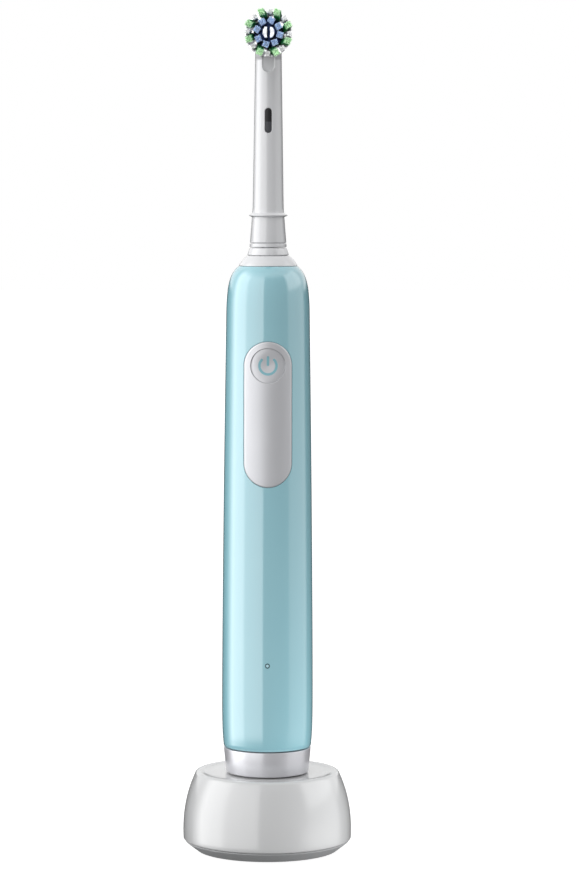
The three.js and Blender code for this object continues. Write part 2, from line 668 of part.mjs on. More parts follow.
function bottomCap() {
  const body = turned([
    [0, 0],
    [capRadius, 0],
    [capRadius, grooveFoot],
    [grooveRadius, grooveFoot],
    [grooveRadius, grooveFoot + grooveHeight],
    [capRadius, grooveFoot + grooveHeight],
    [capRadius, coilTop],
    [capBore, coilTop],
    [capBore, CAP_FLOOR],
    [0, CAP_FLOOR],
  ]);
  const pocketWall = aroundPeg(pocketRadius + POCKET_WALL, 0, coilTop);
  return body.add(pocketWall).subtract(aroundPeg(pocketRadius, -GAP, pocketTop));
}

function capRing() {
  const middle = grooveRadius + PLAY / 2 + RING_SECTION;
  const height = grooveFoot + grooveHeight / 2;
  const section = new THREE.EllipseCurve(middle, height, RING_SECTION, RING_SECTION);
  return turned(sampled(section, CURVE_STEPS).slice(0, -1));
}

function receiverBobbin() {
  const inside = aroundPeg(spoolRadius, 0, REACH);
  return aroundPeg(spoolRadius + BOBBIN_WALL, spoolFoot, spoolTop)
    .add(aroundPeg(spoolReach, spoolFoot, spoolFoot + BOBBIN_FLANGE))
    .add(aroundPeg(spoolReach, spoolTop - BOBBIN_FLANGE, spoolTop))
    .subtract(inside);
}

const cutFront = (solid) => solid.trimByPlane([0, 1, 0], -frontCut);

// A tube open at the front, with a floor under the cell and a divider over it.
function chassis() {
  const wall = tube(chassisBore, chassisRadius, chassisFoot, chassisHead, ROUND);
  const floor = rod(chassisBore + PLAY, chassisFoot, chassisFoot + BULKHEAD, ROUND);
  const divider = rod(chassisBore + PLAY, dividerFoot, dividerFoot + BULKHEAD, ROUND);
  const leadHole = rod(LEAD_HOLE_RADIUS, 0, REACH, TINY_ROUND).translate([0, -CELL_RADIUS / 2, 0]);
  return cutFront(wall.add(floor).add(divider).subtract(leadHole));
}

function batteryCell() {
  const can = turned([
    [0, cellFoot],
    [CELL_RADIUS, cellFoot],
    [CELL_RADIUS, cellHead - CELL_NUB_HEIGHT],
    [CELL_NUB_RADIUS, cellHead - CELL_NUB_HEIGHT],
    [CELL_NUB_RADIUS, cellHead],
    [0, cellHead],
  ], MEDIUM_ROUND);
  return can.translate([0, CELL_OFFSET, 0]);
}

const contactTab = (foot) =>
  rod(TAB_RADIUS, foot, foot + TAB_THICKNESS).translate([0, CELL_OFFSET, 0]);

// The motor's outline: a circle with a flat in front and a flat behind.
const flatted = (inset, foot, head) =>
  rod(MOTOR_RADIUS - inset, foot, head, MEDIUM_ROUND)
    .trimByPlane([0, 1, 0], -(MOTOR_HALF_FLAT - inset))
    .trimByPlane([0, -1, 0], -(MOTOR_HALF_FLAT - inset));
const atMotor = (solid) => solid.translate([0, -MOTOR_OFFSET, 0]);
const atGear = (solid) => solid.translate([0, gearOffset, 0]);
const canFoot = motorFoot + END_CAP_HEIGHT;
const magnetRadius = MOTOR_HALF_FLAT - MOTOR_WALL - PLAY;
const armatureRadius = magnetRadius - MAGNET_WALL - AIR_GAP;
const bearingPlay = ROTOR_SHAFT_RADIUS + PLAY;

function motorCan() {
  const hollow = flatted(MOTOR_WALL, canFoot - GAP, motorHead - MOTOR_WALL);
  const shaftHole = rod(bearingPlay, 0, REACH, TINY_ROUND);
  return atMotor(flatted(0, canFoot, motorHead).subtract(hollow).subtract(shaftHole));
}

function motorEndCap() {
  const spigot = flatted(MOTOR_WALL + PLAY, motorFoot, canFoot + END_CAP_SPIGOT);
  const shaftHole = rod(bearingPlay, motorFoot + END_CAP_FLOOR, REACH, TINY_ROUND);
  return atMotor(flatted(0, motorFoot, canFoot - PLAY).add(spigot).subtract(shaftHole));
}

const motorMagnet = () =>
  atMotor(tube(
    magnetRadius - MAGNET_WALL,
    magnetRadius,
    canFoot + MAGNET_INSET,
    motorHead - MAGNET_INSET,
  ));

function rotor() {
  const shaft = rod(ROTOR_SHAFT_RADIUS, motorFoot + END_CAP_FLOOR + GAP, gearHead, TINY_ROUND);
  const armature = rod(armatureRadius, canFoot + ARMATURE_INSET, motorHead - ARMATURE_INSET);
  return atMotor(shaft.add(armature));
}

function pinion() {
  const blank = raised(gearShape(PINION_TEETH, Math.PI / 2), gearFoot, gearHead);
  return atMotor(blank.subtract(rod(bearingPlay, 0, REACH, TINY_ROUND)));
}

function crankGear() {
  const axleHole = rod(AXLE_RADIUS + PLAY, 0, gearHead - GEAR_WEB, TINY_ROUND);
  const crankPin = rod(CRANK_PIN_RADIUS, gearHead - GEAR_WEB / 2, forkFoot - GAP, TINY_ROUND)
    .translate([0, crankRadius, 0]);
  const blank = raised(gearShape(GEAR_TEETH, Math.PI / GEAR_TEETH), gearFoot, gearHead);
  return atGear(blank.subtract(axleHole).add(crankPin));
}

function gearBracket() {
  const web = rod(chassisBore - PLAY, bracketFoot, bracketFoot + BRACKET_THICKNESS, ROUND);
  const boss = rod(2 * AXLE_RADIUS, bracketFoot, gearFoot - GAP, TINY_ROUND);
  const seat = rod(AXLE_RADIUS + PLAY, 0, REACH, TINY_ROUND);
  const shaftHole = rod(2 * ROTOR_SHAFT_RADIUS, 0, REACH, TINY_ROUND);
  return cutFront(web.add(atGear(boss)).subtract(atGear(seat)).subtract(atMotor(shaftHole)));
}

const gearAxle = () =>
  atGear(rod(AXLE_RADIUS, bracketFoot + PLAY, gearHead - GEAR_WEB - GAP, TINY_ROUND));

function gearboxPlate() {
  const web = rod(chassisBore - PLAY, plateFoot, plateHead, ROUND);
  const orbit = rod(crankRadius + CRANK_PIN_RADIUS + GAP, 0, REACH);
  const pilot = rod(SHAFT_PILOT_RADIUS + PLAY, plateFoot + GAP, REACH, TINY_ROUND);
  return cutFront(web.subtract(atGear(orbit)).subtract(pilot));
}

// Turned steel shaft: a pilot that carries the fork, the main journal, and a flat at the tip.
function driveShaft() {
  const shaft = turned([
    [0, plateFoot + 2 * GAP],
    [SHAFT_PILOT_RADIUS, plateFoot + 2 * GAP],
    [SHAFT_PILOT_RADIUS, forkHead + PLAY],
    [SHAFT_RADIUS, forkHead + PLAY],
    [SHAFT_RADIUS, shaftTip - GAP],
    [SHAFT_RADIUS - GAP, shaftTip],
    [0, shaftTip],
  ], SMALL_ROUND);
  return shaft.subtract(shaftFlat(0));
}

// What the flat takes off the shaft's front, or off a shaft that is thicker by an amount.
const shaftFlat = (grow) => {
  const face = SHAFT_RADIUS - SHAFT_FLAT + grow;
  const foot = shaftTip - SHAFT_FLAT_LENGTH + grow;
  return block([-REACH, -REACH, foot], [REACH, -face, shaftTip + REACH]);
};

function rockerFork() {
  const reach = gearOffset + crankRadius + CRANK_PIN_RADIUS;
  const halfSlot = CRANK_PIN_RADIUS + PLAY;
  const halfWidth = halfSlot + FORK_WALL;
  const slotFoot = gearOffset - crankRadius - halfSlot;
  const hub = rod(SHAFT_PILOT_RADIUS + BUSH_WALL, forkFoot, forkHead);
  const arms = block([-halfWidth, 0, forkFoot], [halfWidth, reach, forkHead]);
  const slot = block([-halfSlot, slotFoot, forkFoot - GAP], [halfSlot, reach + GAP, forkHead + GAP]);
  const bore = rod(SHAFT_PILOT_RADIUS + PLAY, forkFoot - GAP, forkHead + GAP, TINY_ROUND);
  return hub.add(arms).subtract(slot).subtract(bore);
}

function bearingHeadPiece() {
  const bushBore = bushRadius + PLAY;
  const ribFoot = bearingFoot + BUSH_LENGTH + PLAY;
  const ribHead = bearingHead - BUSH_LENGTH - PLAY;
  return turned([
    [bushBore, bearingFoot],
    [chassisRadius, bearingFoot],
    [chassisRadius, bearingFoot + BEARING_FLANGE],
    [bushBore + BEARING_WALL, bearingFoot + BEARING_FLANGE],
    [bushBore + BEARING_WALL, bearingHead],
    [bushBore, bearingHead],
    [bushBore, ribHead],
    [SHAFT_RADIUS + GAP, ribHead],
    [SHAFT_RADIUS + GAP, ribFoot],
    [bushBore, ribFoot],
  ]);
}

const bushing = (foot) => tube(SHAFT_RADIUS + PLAY, bushRadius, foot, foot + BUSH_LENGTH);

const sealRadius = SHAFT_RADIUS + PLAY + SEAL_WALL;
const sealFoot = noseFoot - SEAL_HEIGHT - GAP;

// Carries the dome on from the shell, with a spigot inside the shell and a seat for the seal.
function shoulderCap() {
  const domeTop = noseRadius + NOSE_TAPER;
  const dome = new THREE.QuadraticBezierCurve(
    point(shoulderRadius - PLAY, shellHead + PLAY),
    point((shoulderRadius + domeTop) / 2, shellHead + DOME_PULL * SHOULDER_CAP_HEIGHT),
    point(domeTop, noseFoot),
  );
  const spigot = shoulderRadius - SHELL_WALL - PLAY;
  return turned([
    [SHAFT_RADIUS + GAP, spigotFoot],
    [spigot, spigotFoot],
    [spigot, shellHead + PLAY],
    ...sampled(dome, CORNER_STEPS),
    [sealRadius + PLAY, noseFoot],
    [sealRadius + PLAY, sealFoot - PLAY],
    [SHAFT_RADIUS + GAP, sealFoot - PLAY],
  ]);
}

const shaftSeal = () => tube(SHAFT_RADIUS + PLAY, sealRadius, sealFoot, sealFoot + SEAL_HEIGHT);

const noseRing = () =>
  turned([
    [SHAFT_RADIUS + 2 * GAP, noseFoot + PLAY],
    [noseRadius + NOSE_TAPER, noseFoot + PLAY],
    [noseRadius, noseHead],
    [SHAFT_RADIUS + 2 * GAP, noseHead],
  ]);

const circuitBoard = () =>
  block([-boardHalfWidth, -boardFront, boardFoot], [boardHalfWidth, -boardBack, boardHead]);

function switchBody() {
  const half = SWITCH_SIZE / 2;
  const face = boardFront + SWITCH_HEIGHT;
  const body = block([-half, -face, -half], [half, -boardFront - PLAY, half]);
  const hole = atButton(rod(PLUNGER_RADIUS + PLAY, 0, REACH, TINY_ROUND));
  return body.translate([0, 0, buttonHeight]).subtract(hole);
}

const plunger = () =>
  atButton(rod(PLUNGER_RADIUS, plungerEnd - PLUNGER_LENGTH, plungerEnd, TINY_ROUND));

function chargeLed() {
  const half = LED_SIZE / 2;
  return block([-half, -boardFront - LED_HEIGHT, -half], [half, -boardFront - PLAY, half])
    .translate([0, 0, lensHeight]);
}

const chargeLens = () =>
  atLens(rod(LENS_RADIUS, boardFront + LED_HEIGHT + GAP, shellRadiusAt(lensHeight), TINY_ROUND));

// The power symbol as one solid: a ring open at the top, and an upright bar in the opening.
function powerSymbol(near, far, grow) {
  const half = SYMBOL_STROKE / 2 + grow;
  const opening = SYMBOL_OPENING - grow / SYMBOL_RADIUS;
  const start = Math.PI / 2 + opening;
  const end = Math.PI / 2 - opening + TURN;
  const arc = new THREE.Shape();
  arc.absarc(0, 0, SYMBOL_RADIUS + half, start, end, false);
  arc.absarc(0, 0, SYMBOL_RADIUS - half, end, start, true);
  const bar = block([-half, -grow, near], [half, SYMBOL_RADIUS + half, far]);
  return raised(arc, near, far, 2 * CURVE_STEPS).add(bar);
}

const insertRadius = SYMBOL_RADIUS + SYMBOL_STROKE / 2 + INSERT_MARGIN;
const buttonSurface = (grow) =>
  shellBody(PAD_PROUD - BUTTON_SINK + grow).translate([0, 0, -buttonHeight]).rotate([-90, 0, 0]);

// Follows the pad's curve in front, with the symbol cut through and a seat for the insert behind.
function powerButton() {
  const blank = rod(BUTTON_RADIUS, insertBack, REACH, MEDIUM_ROUND).intersect(buttonSurface(0));
  const seat = rod(insertRadius + PLAY, 0, insertBack + INSERT_THICKNESS + PLAY);
  return atButton(blank.subtract(seat).subtract(powerSymbol(0, REACH, PLAY)));
}

function symbolInsert() {
  const symbol = powerSymbol(insertBack, REACH, 0).intersect(buttonSurface(0));
  const web = rod(insertRadius, insertBack, insertBack + INSERT_THICKNESS);
  const stem = rod(STEM_RADIUS, stemEnd, insertBack + INSERT_THICKNESS / 2, TINY_ROUND);
  return atButton(symbol.add(web).add(stem));
}

add(handle, 'handle_shell', handleShell(), aquaGloss);
add(handle, 'control_pad', controlPad(), whiteSatin);
add(handle, 'base_ring', baseRing(), silverGloss);
add(handle, 'bottom_cap', bottomCap(), whiteGloss);
add(handle, 'cap_o_ring', capRing(), blackRubber);
add(handle, 'receiver_bobbin', receiverBobbin(), naturalPlastic);
add(handle, 'receiver_coil', winding(spoolRadius + BOBBIN_WALL, spoolReach, spoolFoot, spoolTop), copper);
add(handle, 'chassis', chassis(), naturalPlastic);
add(handle, 'battery_cell', batteryCell(), cellWrap);
add(handle, 'battery_minus_tab', contactTab(cellFoot - GAP - TAB_THICKNESS), steel);
add(handle, 'battery_plus_tab', contactTab(cellHead + GAP), steel);
add(handle, 'circuit_board', circuitBoard(), boardGreen);
add(handle, 'switch_body', switchBody(), darkPlastic);
add(handle, 'switch_plunger', plunger(), darkPlastic);
add(handle, 'charge_led', chargeLed(), whiteGloss);
add(handle, 'charge_lens', chargeLens(), clearLens);
add(handle, 'power_button', powerButton(), whiteSatin);
add(handle, 'symbol_insert', symbolInsert(), aquaInk);
add(handle, 'motor_can', motorCan(), steel);
add(handle, 'motor_end_cap', motorEndCap(), darkPlastic);
add(handle, 'motor_magnet', motorMagnet(), ferrite);
add(handle, 'rotor', rotor(), steel);
add(handle, 'pinion', pinion(), bronze);
add(handle, 'gear_bracket', gearBracket(), naturalPlastic);
add(handle, 'gear_axle', gearAxle(), steel);
add(handle, 'crank_gear', crankGear(), naturalPlastic);
add(handle, 'gearbox_plate', gearboxPlate(), naturalPlastic);
add(handle, 'rocker_fork', rockerFork(), steel);
add(handle, 'drive_shaft', driveShaft(), steel);
add(handle, 'bearing_head', bearingHeadPiece(), naturalPlastic);
add(handle, 'lower_bushing', bushing(bearingFoot), bronze);
add(handle, 'upper_bushing', bushing(bearingHead - BUSH_LENGTH), bronze);
add(handle, 'shoulder_cap', shoulderCap(), whiteGloss);
add(handle, 'shaft_seal', shaftSeal(), blackRubber);
add(handle, 'nose_ring', noseRing(), whiteGloss);

// Brush head pieces
const neckAt = (height) => neckRadius - (NECK_TAPER * (height - flangeHead)) / NECK_LENGTH;
const atDisc = (solid) => toFront(solid).translate([0, 0, discHeight]);
const windowFace = neckAt(windowFoot) - WINDOW_INSET;
const labelBack = windowFace - LABEL_THICKNESS;
const tipClearance = linkReach * Math.sin(SHAFT_SWING) + ROD_RADIUS + GAP;

function headNeck() {
  const outside = turned([
    [0, ringFoot],
    [neckRadius, ringFoot],
    [neckRadius, neckFoot],
    [skirtRadius, neckFoot],
    [neckRadius + 2 * PLAY, flangeFoot],
    [neckRadius + FLANGE_PROUD, flangeFoot + FLANGE_HEIGHT / 3],
    [neckRadius + FLANGE_PROUD, flangeFoot + FLANGE_HEIGHT / 2],
    [neckRadius + PLAY, flangeHead],
    [neckRadius, flangeHead + FLANGE_HEIGHT],
    [neckAt(windowFoot), windowFoot],
    [neckAt(discHeight), discHeight],
    [0, discHeight],
  ], MEDIUM_ROUND);
  const hood = atDisc(rod(hoodRadius, -HOOD_BACK, HOOD_FRONT, MEDIUM_ROUND));
  const bore = turned([
    [0, 0],
    [neckBore, 0],
    [neckBore, socketHead + GAP],
    [ROD_BORE, socketHead + GAP + neckBore - ROD_BORE],
    [ROD_BORE, armTop + GAP],
    [0, armTop + GAP],
  ], SMALL_ROUND);
  const shankPocket = atDisc(rod(SHANK_RADIUS + GAP, shankBack - GAP, REACH, MEDIUM_ROUND));
  const armPocket = block([-tipClearance, -REACH, armFoot - GAP], [tipClearance, 0, discHeight]);
  const pinSeat = atDisc(rod(PIN_RADIUS + PLAY, -HOOD_BACK + HOOD_WALL, REACH, TINY_ROUND));
  const window = frontStadium(WINDOW_RADIUS, windowFoot, windowHead, labelBack - PLAY, REACH);
  const scoopFoot = discHeight - SCOOP_LENGTH;
  const scoopFace = neckAt(scoopFoot) - SCOOP_DEPTH;
  const scoop = frontStadium(SCOOP_WIDTH / 2, scoopFoot, discHeight, scoopFace, REACH);
  const cuts = joined([bore, shankPocket, armPocket, pinSeat, window, scoop]);
  return outside.add(hood).subtract(cuts);
}

const idRing = () =>
  turned([
    [neckRadius + PLAY, ringFoot],
    [noseRadius, ringFoot],
    [skirtRadius, neckFoot - PLAY],
    [neckRadius + PLAY, neckFoot - PLAY],
  ]);

const labelPlate = () =>
  frontStadium(WINDOW_RADIUS - PLAY, windowFoot + PLAY, windowHead - PLAY, labelBack, windowFace);

const discPin = () =>
  atDisc(rod(PIN_RADIUS, -HOOD_BACK + HOOD_WALL + PLAY, pinTip, TINY_ROUND));

// Slides over the shaft, its blind bore flatted to match, with a seat in its roof for the rod.
function linkSocket() {
  const shaftBore = rod(SHAFT_RADIUS + PLAY, 0, socketTop)
    .subtract(shaftFlat(PLAY).translate([0, 0, -noseHead]));
  const rodSeat = rod(ROD_RADIUS + PLAY, socketHead - ROD_SEAT, REACH, TINY_ROUND);
  return rod(socketRadius, SOCKET_FOOT, socketHead).subtract(shaftBore).subtract(rodSeat);
}

// Runs up the neck, steps forward under the disc's shank and ends in an upright pin.
function linkRod() {
  const upright = rod(ROD_RADIUS, socketHead - ROD_SEAT + PLAY, armTop, TINY_ROUND);
  const arm = raised(stadium(linkReach + 2 * ROD_RADIUS, ROD_RADIUS), armFoot, armTop)
    .rotate([0, 0, 90]).translate([0, -linkReach / 2, 0]);
  const pin = rod(ROD_RADIUS, armFoot, discHeight - LINK_DROP + ROD_RADIUS, TINY_ROUND);
  return joined([upright, arm, pin.translate([0, -linkReach, 0])]);
}

// A tray for the tufts in front, and behind it a shank with a pin hole and a slot for the link.
function bristleDisc() {
  const tray = rod(discRadius, discBack, discFront, ROUND)
    .subtract(rod(discRadius - GAP, matFoot - PLAY, REACH, ROUND));
  const shank = rod(SHANK_RADIUS, shankBack, discBack + PLAY, MEDIUM_ROUND);
  const pinHole = rod(PIN_RADIUS + PLAY, 0, pinTip + PLAY, TINY_ROUND);
  const slotTop = LINK_DROP - ROD_RADIUS - GAP;
  const slot = new THREE.Shape([
    point(-ROD_RADIUS - 2 * GAP, -slotTop),
    point(-ROD_RADIUS - 4 * GAP, -SHANK_RADIUS - GAP),
    point(ROD_RADIUS + 4 * GAP, -SHANK_RADIUS - GAP),
    point(ROD_RADIUS + 2 * GAP, -slotTop),
  ]);
  return tray.add(shank).subtract(pinHole).subtract(raised(slot, 0, discBack));
}

const tuft = (radius, width, depth) =>
  block([-width / 2, radius - depth / 2, matFoot], [width / 2, radius + depth / 2, tuftTip]);

// A ring of tufts, joined at the roots by a mat at their inner or outer edge.
function tuftRing(radius, matRadius, phase) {
  const half = MAT_WIDTH / 2;
  const mat = tube(matRadius - half, matRadius + half, matFoot, discFront, MEDIUM_ROUND);
  return joined([mat, ...ringOf(tuft(radius, TUFT_WIDTH, TUFT_DEPTH), TUFTS_A_RING, phase)]);
}

function centreTufts() {
  const outline = stadium(CENTRE_TUFT_LENGTH, CENTRE_TUFT_WIDTH / 2);
  const one = raised(outline, matFoot, tuftTip).rotate([0, 0, 90]);
  const offset = CENTRE_TUFT_SPACING / 2;
  const mat = block([-offset, -MAT_WIDTH / 2, matFoot], [offset, MAT_WIDTH / 2, discFront]);
  return joined([mat, one.translate([-offset, 0, 0]), one.translate([offset, 0, 0])]);
}

const edgeMat = (TUFT_DEPTH - MAT_WIDTH) / 2;
const halfPitch = 180 / TUFTS_A_RING;
add(head, 'head_neck', headNeck(), whiteGloss);
add(head, 'id_ring', idRing(), whiteGloss);
add(head, 'label_plate', labelPlate(), darkPlastic);
add(head, 'disc_pin', discPin(), steel);
add(head, 'link_socket', linkSocket(), naturalPlastic);
add(head, 'link_rod', linkRod(), steel);
add(disc, 'bristle_disc', bristleDisc(), whiteGloss);
add(disc, 'white_bristles', tuftRing(whiteRing, whiteRing + edgeMat, 0), whiteFilament);
add(disc, 'green_bristles', tuftRing(greenRing, greenRing - edgeMat, halfPitch), greenFilament);
add(disc, 'blue_bristles', tuftRing(BLUE_RING, BLUE_RING, halfPitch / 2), blueFilament);
add(disc, 'centre_bristles', centreTufts(), whiteFilament);

export default toothbrush;
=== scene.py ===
import json
import math

import bmesh
import bpy
import mathutils
import numpy as np
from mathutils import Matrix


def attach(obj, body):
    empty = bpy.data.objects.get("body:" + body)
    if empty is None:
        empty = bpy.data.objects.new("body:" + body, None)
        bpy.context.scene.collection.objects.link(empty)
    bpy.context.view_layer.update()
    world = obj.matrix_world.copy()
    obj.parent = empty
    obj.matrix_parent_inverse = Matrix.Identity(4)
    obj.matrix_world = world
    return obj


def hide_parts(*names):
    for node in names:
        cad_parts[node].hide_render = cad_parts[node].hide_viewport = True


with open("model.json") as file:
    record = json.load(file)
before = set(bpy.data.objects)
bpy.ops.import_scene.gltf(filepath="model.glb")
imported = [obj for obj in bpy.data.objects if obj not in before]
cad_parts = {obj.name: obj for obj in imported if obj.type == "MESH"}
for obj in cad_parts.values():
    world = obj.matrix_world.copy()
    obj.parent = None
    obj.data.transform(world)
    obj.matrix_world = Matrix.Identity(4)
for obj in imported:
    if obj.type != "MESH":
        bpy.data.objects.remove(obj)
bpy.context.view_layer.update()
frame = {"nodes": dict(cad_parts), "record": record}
nodes = frame["nodes"]
fullTurn = 2 * math.pi
metre = 0.001  # of a drawn millimetre
mergeReach = 2e-7  # metres, points closer than this are one
sharpEdge = math.radians(38)
print("frame loaded:", len(nodes), "nodes")


class Skin:
    # the points and faces of one piece, gathered sheet by sheet
    def __init__(self, points=None, **wraps):
        self.points, self.faces, self.count = [], [], 0
        if points is not None:
            self.sheet(points, **wraps)

    def sheet(self, points, wrapColumns=True, wrapRows=False, holes=()):
        # a grid of points (rows, columns, 3) joined by quads, but for the cells inside the holes
        rows, columns = points.shape[:2]
        grid = self.count + np.arange(rows * columns).reshape(rows, columns)
        self.points.append(points.reshape(-1, 3))
        self.count += rows * columns
        right, down = np.roll(grid, -1, 1), np.roll(grid, -1, 0)
        keep = np.ones((rows, columns), bool)
        keep[-1] = wrapRows
        keep[:, -1] &= wrapColumns
        for firstRow, lastRow, firstColumn, lastColumn in holes:
            keep[firstRow:lastRow, np.arange(firstColumn, lastColumn) % columns] = False
        self.faces.append(np.stack([grid, right, np.roll(right, -1, 0), down], 2)[keep])
        return grid

    def bridge(self, first, second):
        # quads between two closed loops with as many points
        self.faces.append(np.stack([first, np.roll(first, -1), np.roll(second, -1), second], 1))

    def tunnel(self, first, rings, last=None):
        # a sheet of rings that starts at one loop of an earlier sheet and may end at another
        grid = self.sheet(np.array(rings))
        self.bridge(first, grid[0])
        if last is not None:
            self.bridge(grid[-1], last)


def smoothStep(value):
    # 0 below 0, 1 above 1, and 3t^2 - 2t^3 between
    t = np.clip(value, 0, 1)
    return t * t * (3 - 2 * t)


def bezier(points, samples):
    # repeated straight blends of neighbouring points until one is left
    t = np.linspace(0, 1, samples)[:, None]
    blends = [np.array(p, float) + 0 * t for p in points]
    while len(blends) > 1:
        blends = [a + (b - a) * t for a, b in zip(blends, blends[1:])]
    return blends[0]


def smoothThrough(points, samples):
    # a cubic through each pair of points, its end slopes half the chord between their neighbours
    p = np.array(points, float)
    padded = np.vstack([p[:1], p, p[-1:]])
    t = np.linspace(0, len(p) - 1, samples)
    i = np.minimum(t.astype(int), len(p) - 2)
    u = (t - i)[:, None]
    p0, p1, p2, p3 = padded[i], padded[i + 1], padded[i + 2], padded[i + 3]
    v1, v2 = (p2 - p0) / 2, (p3 - p1) / 2
    return (2 * p1 - 2 * p2 + v1 + v2) * u**3 + (3 * p2 - 3 * p1 - 2 * v1 - v2) * u**2 + v1 * u + p1


def rounded(corners, closed=False, steps=6):
    # (radius, height, rounding) corners; a rounding is an exact arc, a weighted quadratic blend of the
    # corner and the two points where the arc touches its sides
    c = np.array(corners, float)
    corner = c[:, :2]
    toBefore, toAfter = np.roll(corner, 1, 0) - corner, np.roll(corner, -1, 0) - corner
    before = np.maximum(np.linalg.norm(toBefore, axis=1), 1e-9)
    after = np.maximum(np.linalg.norm(toAfter, axis=1), 1e-9)
    toBefore, toAfter = toBefore / before[:, None], toAfter / after[:, None]
    half = np.arccos(np.clip((toBefore * toAfter).sum(1), -1, 1)) / 2
    rounding = c[:, 2].copy()
    if not closed:
        rounding[[0, -1]] = 0
    reach = np.minimum(rounding / np.tan(np.maximum(half, 1e-3)), 0.48 * np.minimum(before, after))
    start = (corner + toBefore * reach[:, None])[:, None]
    end = (corner + toAfter * reach[:, None])[:, None]
    u = np.linspace(0, 1, steps)[None, :, None]
    weight = 2 * u * (1 - u) * np.sin(half)[:, None, None]
    arcs = ((1 - u) ** 2 * start + weight * corner[:, None] + u**2 * end) / ((1 - u) ** 2 + weight + u**2)
    line = arcs.reshape(-1, 2)
    return line[np.r_[True, np.linalg.norm(np.diff(line, axis=0), axis=1) > 1e-5]]


def flat(points):
    # the same points as corners without rounding
    return [(r, z, 0) for r, z in points]


def around(outline, columns, spread=0.0):
    # an outline carried round Z: x = r sin a, y = -r cos a, and a spread that pulls the circle into a
    # stadium along X by moving its right and left halves apart
    angle = np.arange(columns) * fullTurn / columns
    r, z = outline[:, :1], outline[:, 1:2]
    split = np.clip(6 * np.sin(angle), -1, 1) * np.reshape(spread, (-1, 1))
    x = r * np.sin(angle) + split
    return np.stack([x, -r * np.cos(angle) + 0 * x, z + 0 * x], 2)


def aroundForward(outline, height, columns):
    # an outline of (radius, y) carried round an axis that points to the front at a height
    angle = np.arange(columns) * fullTurn / columns
    r, y = outline[:, :1], outline[:, 1:2]
    return np.stack([r * np.sin(angle), y + 0 * r * angle, height + r * np.cos(angle)], 2)


def inScene(name, data):
    thing = bpy.data.objects.new(name, data)
    bpy.context.scene.collection.objects.link(thing)
    return thing


def skinMesh(name, skin):
    # the sheets as one mesh: points that touch are merged and every face is turned outwards
    mesh = bpy.data.meshes.new(name)
    mesh.from_pydata(np.concatenate(skin.points) * metre, [], np.concatenate(skin.faces).tolist())
    work = bmesh.new()
    work.from_mesh(mesh)
    bmesh.ops.remove_doubles(work, verts=work.verts, dist=mergeReach)
    bmesh.ops.recalc_face_normals(work, faces=work.faces)
    work.to_mesh(mesh)
    work.free()
    return mesh


def shadeEdges(mesh):
    mesh.shade_smooth()
    mesh.set_sharp_from_angle(angle=sharpEdge)


def addPiece(name, skin, slotName, body, *stands, look=None):
    # a finished piece on its body; its look is its slot's own unless another is named
    mesh = skinMesh(name, skin)
    mesh.materials.append(looks[look or slotName])
    piece = inScene(name, mesh)
    shadeEdges(mesh)
    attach(piece, body)
    if stands:
        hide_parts(*stands)
    return piece


def carve(piece, *cutters):
    # takes closed solids away from a piece and keeps the result as its mesh
    for skin in cutters:
        tool = inScene("cutter", skinMesh("cutter", skin))
        cut = piece.modifiers.new("cut", "BOOLEAN")
        cut.operation, cut.solver, cut.object = "DIFFERENCE", "EXACT", tool
        result = bpy.data.meshes.new_from_object(
            piece.evaluated_get(bpy.context.evaluated_depsgraph_get()))
        piece.modifiers.clear()
        spent = piece.data, tool.data
        piece.data = result
        result.name = piece.name
        bpy.data.objects.remove(tool)
        for mesh in spent:
            bpy.data.meshes.remove(mesh)
        shadeEdges(result)


def rodSkin(radius, start, end, height=None, columns=64):
    # a plain closed rod, upright about Z, or pointing to the front at a height
    outline = np.array([[0, start], [radius, start], [radius, end], [0, end]])
    return Skin(around(outline, columns) if height is None else aroundForward(outline, height, columns))


def moved(skin, x, y):
    skin.points = [p + np.array([x, y, 0]) for p in skin.points]
    return skin


def prismSkin(corners, start, end):
    # a flat outline of (x, z) corners carried from one y to another, closed on its middle
    xz = np.array(corners, float)
    middle = np.repeat(xz.mean(0)[None], len(xz), 0)
    rows = [(middle, start), (xz, start), (xz, end), (middle, end)]
    return Skin(np.array([np.stack([p[:, 0], np.full(len(xz), y), p[:, 1]], 1) for p, y in rows]))


def feed(socket, value):
    # a socket takes a link from another socket, or a plain value; a colour may leave out its alpha
    if isinstance(value, bpy.types.NodeSocket):
        socket.id_data.links.new(value, socket)
    else:
        socket.default_value = (*value, 1)[:4] if socket.type == "RGBA" else value


def addNode(tree, kind, values=(), **settings):
    node = tree.nodes.new("ShaderNode" + kind)
    for key, value in settings.items():
        setattr(node, key, value)
    for key, value in dict(values).items():
        feed(node.inputs[key], value)
    return node


def mixColours(tree, factor, first, second):
    factorAt, firstAt, secondAt = 0, 6, 7  # where a Mix node keeps its colours
    return addNode(tree, "Mix", {factorAt: factor, firstAt: first, secondAt: second},
                   data_type="RGBA").outputs[2]


def mathNode(tree, operation, *terms):
    return addNode(tree, "Math", dict(enumerate(terms)), operation=operation).outputs[0]


def between(tree, value, low, high, shape="LINEAR"):
    # 0 at low and 1 at high, along a straight or a soft line
    return addNode(tree, "MapRange", {"Value": value, "From Min": low, "From Max": high},
                   interpolation_type=shape).outputs[0]


def objectPlace(tree):
    return addNode(tree, "TexCoord").outputs["Object"]


def partsOf(tree, vector):
    return addNode(tree, "SeparateXYZ", {0: vector}).outputs


